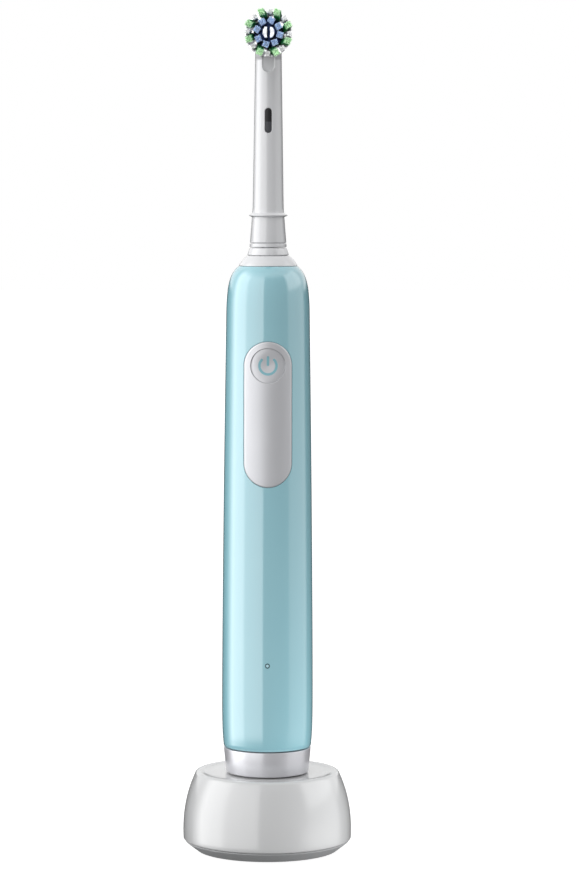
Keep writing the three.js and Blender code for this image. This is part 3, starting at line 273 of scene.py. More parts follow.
def newGroup(name, inputs, outputs):
    # a colour is given as a tuple, and the one output that is a colour is called Colour
    tree = bpy.data.node_groups.new(name, "ShaderNodeTree")
    for label, value in inputs.items():
        kind = "NodeSocketColor" if isinstance(value, tuple) else "NodeSocketFloat"
        tree.interface.new_socket(label, in_out="INPUT", socket_type=kind).default_value = value
    for label in outputs:
        kind = "NodeSocketColor" if label == "Colour" else "NodeSocketFloat"
        tree.interface.new_socket(label, in_out="OUTPUT", socket_type=kind)
    return tree, tree.nodes.new("NodeGroupInput").outputs, tree.nodes.new("NodeGroupOutput").inputs


def makeMouldedSkin():
    # moulded plastic: slow flow marks in the colour and the gloss, and a fine grain for the bump
    tree, given, out = newGroup(
        "mouldedSkin", {"Colour": (1, 1, 1, 1), "Flow colour": (1, 1, 1, 1), "Flow scale": 40,
                        "Roughness": 0.3, "Roughness swing": 0.05, "Grain scale": 2000},
        ("Colour", "Roughness", "Height"))
    where = objectPlace(tree)
    flow = addNode(tree, "TexNoise", {"Vector": where, "Scale": given["Flow scale"], "Detail": 2.0})
    grain = addNode(tree, "TexNoise", {"Vector": where, "Scale": given["Grain scale"], "Detail": 3.0,
                                       "Roughness": 0.6})
    spread = between(tree, flow.outputs[0], 0.25, 0.75, "SMOOTHERSTEP")
    feed(out["Colour"], mixColours(tree, spread, given["Colour"], given["Flow colour"]))
    swing = mathNode(tree, "SUBTRACT", spread, 0.5)
    feed(out["Roughness"], mathNode(tree, "MULTIPLY_ADD", swing, given["Roughness swing"],
                                    given["Roughness"]))
    feed(out["Height"], grain.outputs[0])
    return tree


def makeRestingDust():
    # fine dust on faces that look up: the normal's height times a broken noise
    tree, given, out = newGroup(
        "restingDust", {"Colour": (1, 1, 1, 1), "Dust colour": (0.5, 0.5, 0.5, 1), "Amount": 0.2,
                        "Scale": 300},
        ("Colour",))
    where = addNode(tree, "TexCoord").outputs
    facing = between(tree, partsOf(tree, where["Normal"])[2], 0.5, 1.0, "SMOOTHERSTEP")
    noise = addNode(tree, "TexNoise", {"Vector": where["Object"], "Scale": given["Scale"], "Detail": 5.0,
                                       "Roughness": 0.7})
    specks = between(tree, noise.outputs[0], 0.42, 0.7, "SMOOTHERSTEP")
    mask = mathNode(tree, "MULTIPLY", mathNode(tree, "MULTIPLY", facing, specks), given["Amount"])
    feed(out["Colour"], mixColours(tree, mask, given["Colour"], given["Dust colour"]))
    return tree


def makeTurnedLines():
    # rings left by a lathe, or the turns of a winding: waves along Z, and their height
    tree, given, out = newGroup(
        "turnedLines", {"Colour": (1, 1, 1, 1), "Line colour": (0, 0, 0, 1), "Pitch scale": 800,
                        "Unevenness": 0.5, "Roughness": 0.3, "Roughness swing": 0.1},
        ("Colour", "Roughness", "Height"))
    line = addNode(tree, "TexWave", {"Vector": objectPlace(tree), "Scale": given["Pitch scale"],
                                     "Distortion": given["Unevenness"], "Detail": 2.0,
                                     "Detail Scale": 1.5},
                   wave_type="BANDS", bands_direction="Z").outputs["Fac"]
    feed(out["Colour"], mixColours(tree, line, given["Line colour"], given["Colour"]))
    feed(out["Roughness"], mathNode(tree, "MULTIPLY_ADD", line, given["Roughness swing"],
                                    given["Roughness"]))
    feed(out["Height"], line)
    return tree


def makeFilamentShading():
    # bristle colour from root to tip along Y, painted shade at the roots and painted light at the tips,
    # each filament a little lighter or darker than the next
    tree, given, out = newGroup(
        "filamentPaintedShade", {"Shaded root colour": (0, 0, 0, 1), "Middle colour": (0.5, 0.5, 0.5, 1),
                         "Lit tip colour": (1, 1, 1, 1), "Root y": -0.0068, "Tip y": -0.0154,
                         "Unevenness": 0.2},
        ("Colour",))
    where = objectPlace(tree)
    along = between(tree, partsOf(tree, where)[1], given["Root y"], given["Tip y"])
    drawn = addNode(tree, "Mapping", {"Vector": where, "Scale": (1.0, 0.05, 1.0)})
    noise = addNode(tree, "TexNoise", {"Vector": drawn.outputs[0], "Scale": 2600.0, "Detail": 1.0})
    jitter = mathNode(tree, "MULTIPLY", mathNode(tree, "SUBTRACT", noise.outputs[0], 0.5),
                      given["Unevenness"])
    length = mathNode(tree, "ADD", along, jitter)
    shaft = mixColours(tree, between(tree, length, 0.15, 0.85), given["Shaded root colour"],
                       given["Middle colour"])
    feed(out["Colour"], mixColours(tree, between(tree, length, 0.85, 1.0), shaft, given["Lit tip colour"]))
    return tree


groups = {"moulded": makeMouldedSkin(), "dust": makeRestingDust(),
          "turned": makeTurnedLines(), "filament": makeFilamentShading()}


def placeGroup(tree, group, values):
    return addNode(tree, "Group", values, node_tree=groups[group]).outputs


def startLook(name, **sockets):
    material = bpy.data.materials.new(name)
    material.use_nodes = True
    shader = material.node_tree.nodes["Principled BSDF"]
    for key, value in sockets.items():
        feed(shader.inputs[key.replace("_", " ")], value)
    return material, material.node_tree, shader


def dress(tree, shader, skin, colour, depth):
    # a group's gloss and height join the shader; depth is the bump's real height in metres
    bump = addNode(tree, "Bump", {"Strength": 1.0, "Distance": depth, "Height": skin["Height"]})
    for key, value in (("Base Color", colour), ("Roughness", skin["Roughness"]),
                       ("Normal", bump.outputs[0])):
        feed(shader.inputs[key], value)


def plasticLook(name, colour, flow, rough, swing=0.04, flowScale=45, grain=2500, depth=2e-6, dust=0.0,
                dustColour=(0.45, 0.44, 0.42), dustScale=420.0, **sockets):
    material, tree, shader = startLook(name, **sockets)
    skin = placeGroup(tree, "moulded", {"Colour": colour, "Flow colour": flow, "Flow scale": flowScale,
                                        "Roughness": rough, "Roughness swing": swing,
                                        "Grain scale": grain})
    base = skin["Colour"]
    if dust:
        base = placeGroup(tree, "dust", {"Colour": base, "Dust colour": dustColour, "Amount": dust,
                                         "Scale": dustScale})["Colour"]
    dress(tree, shader, skin, base, depth)
    return material


def turnedLook(name, colour, line, rough, pitch, depth, uneven=0.6, swing=0.12, **sockets):
    material, tree, shader = startLook(name, **sockets)
    rings = placeGroup(tree, "turned", {"Colour": colour, "Line colour": line, "Pitch scale": pitch,
                                        "Unevenness": uneven, "Roughness": rough,
                                        "Roughness swing": swing})
    dress(tree, shader, rings, rings["Colour"], depth)
    return material


def bristleLook(name, root, middle, tip, rootY=-0.0064, tipY=-0.0150, uneven=0.16):
    material, tree, shader = startLook(
        name, Roughness=0.38, Coat_Weight=0.15, Subsurface_Weight=0.5, Subsurface_Scale=1.0,
        Subsurface_Radius=(0.0006, 0.0006, 0.0006))
    # the root colour is painted shade and the tip colour painted light; the middle colour is the filament's
    # own
    fade = placeGroup(tree, "filament", {"Shaded root colour": root, "Middle colour": middle, "Lit tip colour": tip,
                                         "Root y": rootY, "Tip y": tipY, "Unevenness": uneven})
    feed(shader.inputs["Base Color"], fade["Colour"])
    return material


def twoToneLook(name, first, second, share, rough, depth=1e-6, **sockets):
    # two colours with a fine grain; share turns Object coordinates into the second one's part
    material, tree, shader = startLook(name, **sockets)
    skin = placeGroup(tree, "moulded", {"Colour": first, "Flow colour": first, "Roughness": rough})
    mixed = mixColours(tree, share(tree, objectPlace(tree)), skin["Colour"], second)
    dress(tree, shader, skin, mixed, depth)
    return material


def above(height, softness=0.0001):
    # 0 under a height and 1 over it
    return lambda tree, where: between(tree, partsOf(tree, where)[2], height - softness, height + softness)


def beyond(radius, height):
    # 0 near an axis that points to the front at a height, and 1 beyond the radius
    def share(tree, where):
        centred = addNode(tree, "Mapping", {"Vector": where, "Location": (0, 0, -height),
                                            "Scale": (1, 0, 1)})
        distance = addNode(tree, "VectorMath", {0: centred.outputs[0]}, operation="LENGTH")
        return between(tree, distance.outputs["Value"], radius * 0.9, radius * 1.1)
    return share


lensHeight = 61.8  # millimetres, the charge light's middle

looks = {
    "white_shell": plasticLook("whiteMoulding", (0.71, 0.715, 0.73), (0.695, 0.70, 0.718), 0.18,
                               Coat_Weight=1.0, Coat_Roughness=0.06, IOR=1.6),
    "charger_white": plasticLook("chargerMoulding", (0.55, 0.555, 0.56), (0.54, 0.545, 0.55), 0.22,
                                 dust=0.12, depth=2.5e-6, Coat_Weight=1.0, Coat_Roughness=0.08, IOR=1.7,
                                 Sheen_Weight=0.3, Sheen_Roughness=0.3),
    "aqua_shell": plasticLook("aquaMoulding", (0.305, 0.585, 0.66), (0.298, 0.578, 0.655), 0.10, swing=0.02,
                              Coat_Weight=1.0, Coat_Roughness=0.04, IOR=1.85),
    "soft_pad": plasticLook("softTouchPad", (0.68, 0.685, 0.71), (0.665, 0.67, 0.697), 0.44, grain=5200,
                            depth=7e-6, Metallic=0.5),
    "aqua_symbol": plasticLook("symbolInlay", (0.25, 0.51, 0.58), (0.24, 0.50, 0.57), 0.35),
    "silver_band": plasticLook("silverPlastic", (0.66, 0.66, 0.69), (0.645, 0.645, 0.678), 0.3, swing=0.03,
                               Metallic=0.55, Coat_Weight=0.4, Coat_Roughness=0.15),
    "grey_base": plasticLook("greyMoulding", (0.35, 0.356, 0.362), (0.335, 0.341, 0.347), 0.42, grain=3800,
                             depth=8e-6, dust=0.2),
    "dark_label": twoToneLook("wearLabel", (0.055, 0.057, 0.065), (0.006, 0.006, 0.008), above(0.2342),
                              0.4, Coat_Weight=0.1),
    "inner_plastic": plasticLook("naturalMoulding", (0.68, 0.65, 0.56), (0.63, 0.60, 0.50), 0.5,
                                 grain=1800, depth=6e-6),
    "black_plastic": plasticLook("blackMoulding", (0.02, 0.022, 0.027), (0.03, 0.03, 0.034), 0.45),
    "rubber": plasticLook("blackRubber", (0.015, 0.015, 0.016), (0.03, 0.03, 0.03), 0.75, grain=3000,
                          depth=1e-5),
    "steel": turnedLook("turnedSteel", (0.56, 0.58, 0.60), (0.42, 0.44, 0.46), 0.22, pitch=2600.0,
                        depth=1.5e-6, Metallic=1.0),
    "bronze": turnedLook("sinteredBronze", (0.55, 0.33, 0.13), (0.38, 0.22, 0.08), 0.45, pitch=1500.0,
                         depth=2e-6, Metallic=1.0),
    "copper": turnedLook("enamelledWinding", (0.62, 0.26, 0.09), (0.16, 0.05, 0.02), 0.28, pitch=1250.0,
                         depth=6e-5, uneven=0.15, Metallic=0.9, Coat_Weight=0.6),
    "ferrite": plasticLook("sinteredFerrite", (0.06, 0.06, 0.065), (0.10, 0.10, 0.105), 0.7, grain=6000,
                           depth=1.2e-5, flowScale=900),
    "cell_wrap": twoToneLook("cellSleeve", (0.06, 0.24, 0.12), (0.62, 0.63, 0.60), above(0.0845), 0.3,
                             Coat_Weight=0.8),
    "board": plasticLook("solderMask", (0.02, 0.13, 0.06), (0.03, 0.19, 0.08), 0.35, flowScale=700,
                         Coat_Weight=0.5),
    "light_guide": twoToneLook("lightGuide", (0.45, 0.70, 0.76), (0.055, 0.13, 0.16),
                               beyond(0.00045, lensHeight * metre), 0.15, Coat_Weight=0.8),
    # bristles: the near-black root colours are painted shade, the pale tip colours painted light
    "bristle_green": bristleLook("greenFilament", (0.001, 0.009, 0.004), (0.02, 0.22, 0.045),
                                 (0.60, 0.90, 0.56)),
    "bristle_blue": bristleLook("blueFilament", (0.004, 0.01, 0.06), (0.30, 0.48, 0.92),
                                (0.74, 0.90, 1.0)),
    "bristle_white": bristleLook("whiteFilament", (0.36, 0.39, 0.44), (0.97, 0.98, 1.0),
                                 (1.0, 1.0, 1.0)),
    # painted shade: a near-black navy for the sheet that stands for the shade between the tufts
    "painted_shade_bed": plasticLook("paintedShadeBed", (0.004, 0.008, 0.028), (0.006, 0.011, 0.034), 0.6),
}
for row in frame["record"]["subparts"]:
    mesh = nodes[row["node"]].data
    mesh.materials.clear()
    mesh.materials.append(looks[row["material_slot"]])
print("finishes ready:", len(looks))

charger = {"side": ((27.0, 3.9), (27.5, 12.74), (25.82, 19.81), (22.8, 26.0)), "wall": 1.8, "columns": 176,
           "rimWidth": 0.8, "rimRound": 2.2, "dish": 25.3, "dishFoot": (19.4, 11.4),
           "plateau": (10.6, 5.4), "ceiling": 23.5, "ceilingSpan": (4.4, 22.0), "ceilingRadius": 24.0,
           "pegRadius": 4.0, "pegTop": 36.7, "pegWall": 1.2, "pegSpread": 1.5, "spreadBand": (11.0, 5.4),
           "outlet": 10.7, "outletRadius": 3.0, "outletSpan": (20.0, 30.0)}


def spreadBy(radius, wide, narrow):
    # 0 where the outline is wider than the first radius, the spigot's whole spread inside the second
    return charger["pegSpread"] * smoothStep((wide - radius) / (wide - narrow))


def chargerHousing():
    # an outline carried round Z: up inside the spigot, along the ceiling, down the wall's inside, up its
    # outside, over the rim and the dish to the spigot's top
    c = charger
    side = bezier(c["side"], 48)
    inner = side[(side[:, 1] < c["ceiling"] - 0.6)] - [c["wall"], 0]
    rim = side[-1]
    dish = bezier([(rim[0] - c["rimWidth"] - 1.3, c["dish"] + 0.4),
                   *((r, c["dish"]) for r in c["dishFoot"])], 14)
    plateau = [(r, c["dish"]) for r in np.linspace(*c["plateau"], 8)]
    pegInside, pegCeiling = c["pegRadius"] - c["pegWall"], c["pegTop"] - c["pegWall"]
    ceiling = [(r, c["ceiling"]) for r in np.linspace(*c["ceilingSpan"], 14)]
    inside = rounded([(0, pegCeiling, 0), (pegInside, pegCeiling, 0.4), (pegInside, c["ceiling"], 0.4),
                      *flat(ceiling), (c["ceilingRadius"], c["ceiling"], 1.0), *flat(inner[::-1])])
    outside = rounded([(inner[0, 0], side[0, 1], 0), (side[0, 0], side[0, 1], 0.5), *flat(side[3:-8]),
                       (rim[0] + 0.05, rim[1] + 0.05, c["rimRound"]), *flat(dish), *flat(plateau),
                       (c["pegRadius"], c["dish"], 0.5), (c["pegRadius"], c["pegTop"], 0.9),
                       (0, c["pegTop"], 0)])
    outline = np.vstack([inside, outside])
    skin = Skin(around(outline, c["columns"], spreadBy(outline[:, 0], *c["spreadBand"])))
    piece = addPiece("charger_housing", skin, "white_shell", "charger", "charger_shell",
                     look="charger_white")
    carve(piece, rodSkin(c["outletRadius"], *c["outletSpan"], c["outlet"]))


underside = {"low": 0.4, "top": 2.2, "footRadius": 22.6, "radius": 27.0, "ledge": 3.8, "lipOuter": 25.1,
             "lipInner": 23.3, "lipTop": 6.8, "floorRadius": 20.8, "recess": 1.5, "recessRadius": 3.3}
feet = {"order": (1, 3, 2), "ring": 17.6, "radius": 3.2, "height": 1.4}
posts = {"degrees": (60, 180, 300), "ring": 16.7, "radius": 1.8, "shoulder": 6.5, "pin": 0.8, "top": 8.4}


def chargerUnderside():
    # a shallow pan with an upright lip that plugs into the housing, and a recess for each foot
    u = underside
    outline = rounded([
        (0, u["low"], 0), (u["footRadius"], u["low"], 0.7), (u["radius"], u["ledge"], 0.55),
        (u["lipOuter"], u["ledge"], 0.05), (u["lipOuter"], u["lipTop"], 0.2),
        (u["lipInner"], u["lipTop"], 0.2), (u["lipInner"], u["ledge"], 0.2),
        (u["floorRadius"], u["top"], 0.3), (0, u["top"], 0)])
    piece = addPiece("charger_skirt", Skin(around(outline, charger["columns"])), "grey_base", "charger",
                     "charger_base")
    places = [(-feet["ring"] * math.sin(a), -feet["ring"] * math.cos(a))
              for a in np.arange(3) * fullTurn / 3]
    carve(piece, *(moved(rodSkin(u["recessRadius"], -1.0, u["recess"]), x, y) for x, y in places))
    boardPosts()
    radius, height = feet["radius"], feet["height"]
    outline = rounded([(0, 0, 0), (radius, 0, 0.35), (radius, height, 0.1), (0, height, 0)])
    for number, (x, y) in zip(feet["order"], places):
        addPiece(f"rubber_foot_{number}", Skin(around(outline, 48) + [x, y, 0]), "rubber", "charger",
                 f"foot_{number}")


def boardPosts():
    # three stepped posts that carry the board
    p = posts
    outline = rounded([(0, underside["top"], 0), (p["radius"], underside["top"], 0),
                       (p["radius"], p["shoulder"], 0.2), (p["pin"], p["shoulder"], 0),
                       (p["pin"], p["top"], 0.25), (0, p["top"], 0)], steps=4)
    skin = Skin()
    for a in np.radians(p["degrees"]):
        skin.sheet(around(outline, 32) + [-p["ring"] * math.sin(a), p["ring"] * math.cos(a), 0])
    addPiece("board_posts", skin, "grey_base", "charger")


grommet = {"bore": 1.7, "radius": 2.9, "flange": 3.6, "outer": 27.0, "wall": 24.34, "inner": 23.14}


def cableGrommet():
    # a flanged tube that points to the back through the housing's outlet
    g = grommet
    outline = rounded([(g["bore"], g["outer"], 0.3), (g["radius"], g["outer"], 0.5),
                       (g["radius"], g["wall"], 0.05), (g["flange"], g["wall"], 0.2),
                       (g["flange"], g["inner"], 0.2), (g["bore"], g["inner"], 0.3)], closed=True)
    addPiece("cable_grommet", Skin(aroundForward(outline, charger["outlet"], 64), wrapRows=True),
             "grey_base", "charger", "cord_grommet")


chargerHousing()
chargerUnderside()
cableGrommet()
print("charger ready")

grip = {"line": ((14.05, 34.0), (14.6, 49.0), (14.16, 111.2), (13.35, 173.4)),
        "shoulder": ((13.35, 173.4), (13.25, 181.95), (12.26, 186.15), (9.45, 188.4)),
        "mouth": (9.42, 7.95), "bore": 11.65, "wall": 1.7, "columns": 192, "edge": 0.5, "reveal": 0.3,
        "play": 0.07}
pad = {"radius": 7.58, "low": 126.2, "high": 157.2, "proud": 0.25, "thickness": 1.0, "edge": 0.4,
       "holeEdge": 0.12, "holePlay": 0.03, "points": 240}
button = {"radius": 5.5, "sink": 0.12, "hollow": 0.6, "hollowRim": 0.5, "edge": 0.1, "back": -11.8,
          "points": 128}
symbol = {"radius": 2.7, "stroke": 0.78, "barFoot": -0.1, "opening": 38, "proud": 0.03, "depth": 0.35,
          "stem": 1.2, "stemStart": -12.2, "stemEnd": -10.6}
gripLine = np.vstack([smoothThrough(grip["line"], 240), bezier(grip["shoulder"], 120)[1:]])


def gripRadius(z):
    return np.interp(z, gripLine[:, 1], gripLine[:, 0])


def onFront(x, z, sink=0.0, radius=None):
    # the point at x and z on the front of the grip's surface, that surface moved in by sink
    r = gripRadius(z) - sink if radius is None else radius
    return np.stack([x, -np.sqrt(np.maximum(r * r - x * x, 0)), z], -1)


def frameLoop(grid, firstRow, lastRow, firstColumn, lastColumn):
    # the indices round a rectangle of the grid, anticlockwise
    columns = np.arange(firstColumn, lastColumn + 1) % grid.shape[1]
    return np.concatenate([grid[firstRow, columns], grid[firstRow + 1:lastRow, columns[-1]],
                           grid[lastRow, columns[::-1]], grid[lastRow - 1:firstRow:-1, columns[0]]])


def spokes(x, z, low, high):
    # the nearest point of an upright middle line, the direction away from it, and how far it is
    middle = np.clip(z, low, high)
    reach = np.hypot(x, z - middle)
    return middle, x / reach, (z - middle) / reach, reach


def stadiumSpokes(low, high, radius, count):
    # evenly spaced places round an upright stadium, clockwise from the top
    half, straight = math.pi * radius / 2, high - low
    knots = np.cumsum([0, half, straight, 2 * half, straight, half])
    s = np.arange(count) * knots[-1] / count
    angle = np.radians(np.interp(s, knots, [0, 90, 90, 270, 270, 360]))
    return np.interp(s, knots, [high, high, low, low, high, high]), np.sin(angle), np.cos(angle)


def lipRings(hole, lip, steps=5):
    # (distance from the middle line, depth) down a quarter round at a hole's edge
    turn = np.linspace(0, math.pi / 2, steps)[1:]
    return [(hole + lip * (1 - math.sin(t)), lip * (1 - math.cos(t))) for t in turn]


def gripHoles():
    # the openings for the pad and the charge light: the ends of a middle line, the edge's distance from
    # it, the lip's rounding, the depth of the ledge, the radius of the round hole through the rest, and
    # how far the gap in the sheet reaches
    return ({"low": pad["low"], "high": pad["high"], "edge": pad["radius"] + grip["play"], "lip": 0.12,
             "depth": pad["thickness"] - pad["proud"] + grip["reveal"], "through": button["radius"] + 0.1,
             "margin": 9.2, "columns": 21},
            {"low": lensHeight, "high": lensHeight, "edge": 0.8, "lip": 0.06, "depth": 1.0,
             "through": 0.78, "margin": 2.2, "columns": 4})


def gripShell():
    # the grip's line carried round Z with its inside; the cells under the pad and the charge light are
    # left out, and rings of points lead from each gap's border over a lip and through the wall
    g = grip
    start = gripLine[0, 1]
    straight = np.linspace(start + g["edge"], g["shoulder"][0][1], 142)
    bend = bezier(g["shoulder"], 34)[1:, 1]
    bend[-1] -= 0.12
    z = np.concatenate([straight, bend])
    rows = len(z)
    outer = np.stack([gripRadius(z), z], 1)
    inner = np.stack([np.minimum(g["bore"], gripRadius(z) - g["wall"]), z], 1)
    top = np.array([(r, g["shoulder"][-1][1]) for r in g["mouth"]])
    footRadius = g["line"][0][0]
    foot = rounded([(g["bore"], start + 1, 0), (g["bore"], start, 0.1), (footRadius, start, g["edge"]),
                    (footRadius + 0.02, start + 1, 0)])[1:-1]
    outline = np.vstack([outer, top, inner[::-1], foot])
    points = around(outline, g["columns"])
    openings = gripHoles()
    patches = [(int(np.argmin(abs(z - (hole["low"] - hole["margin"])))),
                int(np.argmin(abs(z - (hole["high"] + hole["margin"])))),
                -hole["columns"], hole["columns"]) for hole in openings]
    first = rows + len(top)  # row of the sheet where the inside starts, at the top
    last = first + rows - 1
    mirrored = [(last - b, last - a, c, d) for a, b, c, d in patches]
    skin = Skin()
    grid = skin.sheet(points, wrapRows=True, holes=[*patches, *mirrored])
    flatPoints = points.reshape(-1, 3)
    insideGrid = grid[first:first + rows][::-1]
    for patch, hole in zip(patches, openings):
        border, backBorder = frameLoop(grid, *patch), frameLoop(insideGrid, *patch)
        middle, across, up, reach = spokes(flatPoints[border, 0], flatPoints[border, 2], hole["low"],
                                           hole["high"])
        edge, lip, depth = hole["edge"], hole["lip"], hole["depth"]
        through, centre = hole["through"], hole["high"]

        def ring(distance, sink):
            return onFront(distance * across, middle + distance * up, sink)

        rings = [ring(reach + (edge + lip - reach) * t, 0) for t in np.linspace(0, 1, 8)[1:]]
        rings += [ring(distance, sink) for distance, sink in lipRings(edge, lip)]
        rings.append(ring(edge, depth))
        x, height = edge * across, middle + edge * up
        away = np.hypot(x, height - centre)
        roundX, roundZ = x / away * through, centre + (height - centre) / away * through
        for t in np.linspace(0, 1, 6)[1:]:
            rings.append(onFront(x + (roundX - x) * t, height + (roundZ - height) * t, depth))
        backX, backZ = flatPoints[backBorder, 0], flatPoints[backBorder, 2]
        for t in np.linspace(0, 1, 8)[:-1]:
            rings.append(onFront(roundX + (backX - roundX) * t, roundZ + (backZ - roundZ) * t,
                                 radius=g["bore"]))
        skin.tunnel(border, rings, backBorder)
    addPiece("grip_shell", skin, "aqua_shell", "handle", "handle_shell")


def thumbPad():
    # rings from the pad's outer foot, over its rounded edge and its face to the hole, and back behind it
    low, high, outerRadius, face = pad["low"], pad["high"], pad["radius"], -pad["proud"]
    middle, across, up = stadiumSpokes(low, high, outerRadius, pad["points"])
    back = face + pad["thickness"]
    edge, holeEdge = pad["edge"], pad["holeEdge"]
    hole = button["radius"] + pad["holePlay"]

    def ring(distance, sink):
        return distance * across, middle + distance * up, sink

    def roundRing(radius, sink):
        x, z = outerRadius * across, middle + outerRadius * up
        away = np.hypot(x, z - high)
        return x / away * radius, high + (z - high) / away * radius, sink

    def blend(first, second, steps):
        return [tuple(a + (b - a) * t for a, b in zip(first, second)) for t in np.linspace(0, 1, steps)]

    turns = np.linspace(0, math.pi / 2, 6)
    rings = [ring(outerRadius, back)]
    rings += [ring(outerRadius - edge * (1 - math.cos(t)), face + edge * (1 - math.sin(t))) for t in turns]
    rings += blend(ring(outerRadius - edge, face), roundRing(hole + holeEdge, face), 26)[1:]
    rings += [roundRing(radius, face + depth) for radius, depth in lipRings(hole, holeEdge, 6)]
    rings.append(roundRing(hole, back))
    rings += blend(roundRing(hole, back), ring(outerRadius, back), 12)[1:-1]
    skin = Skin(np.array([onFront(x, z, sink) for x, z, sink in rings]), wrapRows=True)
    addPiece("thumb_pad", skin, "soft_pad", "handle", "control_pad")


def buttonSink(x, z):
    # the button's face lies below the grip's surface, and is hollowed towards its middle
    b = button
    distance = np.hypot(x, z - pad["high"])
    return b["sink"] + b["hollow"] * (1 - smoothStep(distance / (b["radius"] - b["hollowRim"])))


def pushButton():
    # circles on the hollowed face, over the rounded edge, and straight back to a flat end
    b, radius = button, button["radius"]
    angle = np.arange(b["points"]) * fullTurn / b["points"]
    turns = np.linspace(0, math.pi / 2, 6)
    rings = [(r, 0.0) for r in np.linspace(0, radius - b["edge"], 16)]
    rings += [(radius - b["edge"] * (1 - math.sin(t)), b["edge"] * (1 - math.cos(t))) for t in turns[1:]]
    points = []
    for distance, drop in rings:
        x, z = distance * np.sin(angle), pad["high"] + distance * np.cos(angle)
        points.append(onFront(x, z, buttonSink(x, z) + drop))
    for distance in (radius, 0.0):
        x, z = distance * np.sin(angle), pad["high"] + distance * np.cos(angle)
        points.append(np.stack([x, np.full(len(x), b["back"]), z], 1))
    addPiece("push_button", Skin(np.array(points)), "soft_pad", "button", "power_button")


def ribbon(skin, x, z, half, top, bottom):
    # a flat stroke along a path: its sides stand half its width off the path, its top and bottom are
    # two depths under the button's face, and the ends close where the width falls to nothing
    path = np.stack([x, z], 1)
    along = np.gradient(path, axis=0)
    along /= np.linalg.norm(along, axis=1)[:, None]
    side = np.stack([along[:, 1], -along[:, 0]], 1) * half[:, None]
    left, right = path + side, path - side
    corners = [(left, top), (right, top), (right, bottom), (left, bottom)]
    skin.sheet(np.stack([onFront(p[:, 0], p[:, 1], buttonSink(p[:, 0], p[:, 1]) + d)
                         for p, d in corners], 1))


def powerSymbol():
    # an open ring with round ends and an upright bar in its opening, inlaid in the button, on its stem
    s = symbol
    half, radius, middle = s["stroke"] / 2, s["radius"], pad["high"]
    skin = Skin()
    angle = np.radians(np.linspace(s["opening"], 360 - s["opening"], 121))
    z = np.linspace(s["barFoot"], radius + half, 41)
    for x, height, fromStart, fromEnd in (
            (radius * np.sin(angle), radius * np.cos(angle), radius * (angle - angle[0]),
             radius * (angle[-1] - angle)),
            (0 * z, z, z - z[0], z[-1] - z)):
        width = half * np.sqrt(1 - np.clip(1 - np.minimum(fromStart, fromEnd) / half, 0, 1) ** 2)
        ribbon(skin, x, middle + height, width, -s["proud"], s["depth"])
    stem = rounded([(0, s["stemEnd"], 0), (s["stem"], s["stemEnd"], 0.2), (s["stem"], s["stemStart"], 0),
                    (0, s["stemStart"], 0)], steps=4)
    skin.sheet(aroundForward(stem, middle, 32))
    addPiece("power_symbol", skin, "aqua_symbol", "button", "symbol_insert")


chargeLight = {"radius": 0.7, "back": -9.9, "rim": 0.06, "crown": 0.01}


def chargeWindow():
    # a clear rod from the board to the grip's surface, a little higher in its middle
    c, face = chargeLight, -float(gripRadius(lensHeight))
    outline = rounded([(0, c["back"], 0), (c["radius"], c["back"], 0.05),
                       (c["radius"], face + c["rim"], 0.08), (0, face + c["crown"], 0)])
    addPiece("charge_window", Skin(aroundForward(outline, lensHeight, 48)), "light_guide", "handle",
             "charge_lens")


collars = {
    "silver_collar": ("silver_band", "handle", "base_ring", 192,
                      [(11.65, 25.6, 0.1), (13.25, 25.6, 0.5), (14.0, 33.68, 0.15), (11.65, 33.68, 0.1)]),
    "shoulder_dome": ("white_shell", "handle", "shoulder_cap", 128,
                      [(2.2, 184.9, 0.1), (7.65, 184.9, 0.2), (7.65, 188.5, 0.05), (9.35, 188.5, 0.18),
                       *flat(bezier([(9.25, 188.75), (8.25, 190.45), (6.85, 191.6)], 12)),
                       (6.65, 191.7, 0.1), (4.3, 191.7, 0.1), (4.3, 189.3, 0.05), (2.2, 189.3, 0.1)]),
    "nose_collar": ("white_shell", "handle", "nose_ring", 112,
                    [(2.5, 191.8, 0.15), (6.65, 191.8, 0.3), (5.9, 194.2, 0.3), (2.5, 194.2, 0.15)]),
    "colour_ring": ("white_shell", "head", "id_ring", 112,
                    [(5.05, 194.4, 0.05), (5.9, 194.4, 0.25), (5.8, 195.7, 0.25), (5.05, 195.7, 0.05)]),
}


def turnCollars():
    # each collar is its closed outline of (radius, height, rounding) carried once round Z
    for name, (slotName, body, stands, columns, corners) in collars.items():
        skin = Skin(around(rounded(corners, closed=True), columns), wrapRows=True)
        addPiece(name, skin, slotName, body, stands)


cap = {"bore": 11.55, "wall": 9.55, "low": 25.6, "floor": 27.2, "groove": 10.45, "grooveLow": 35.2,
       "grooveHigh": 36.4, "top": 38.3, "pocketTop": 37.3, "pocketInner": 4.4, "pocketOuter": 5.4,
       "floorSpan": (8.8, 6.0), "faceSpan": (5.8, 9.4), "spreadBand": (9.2, 5.5)}


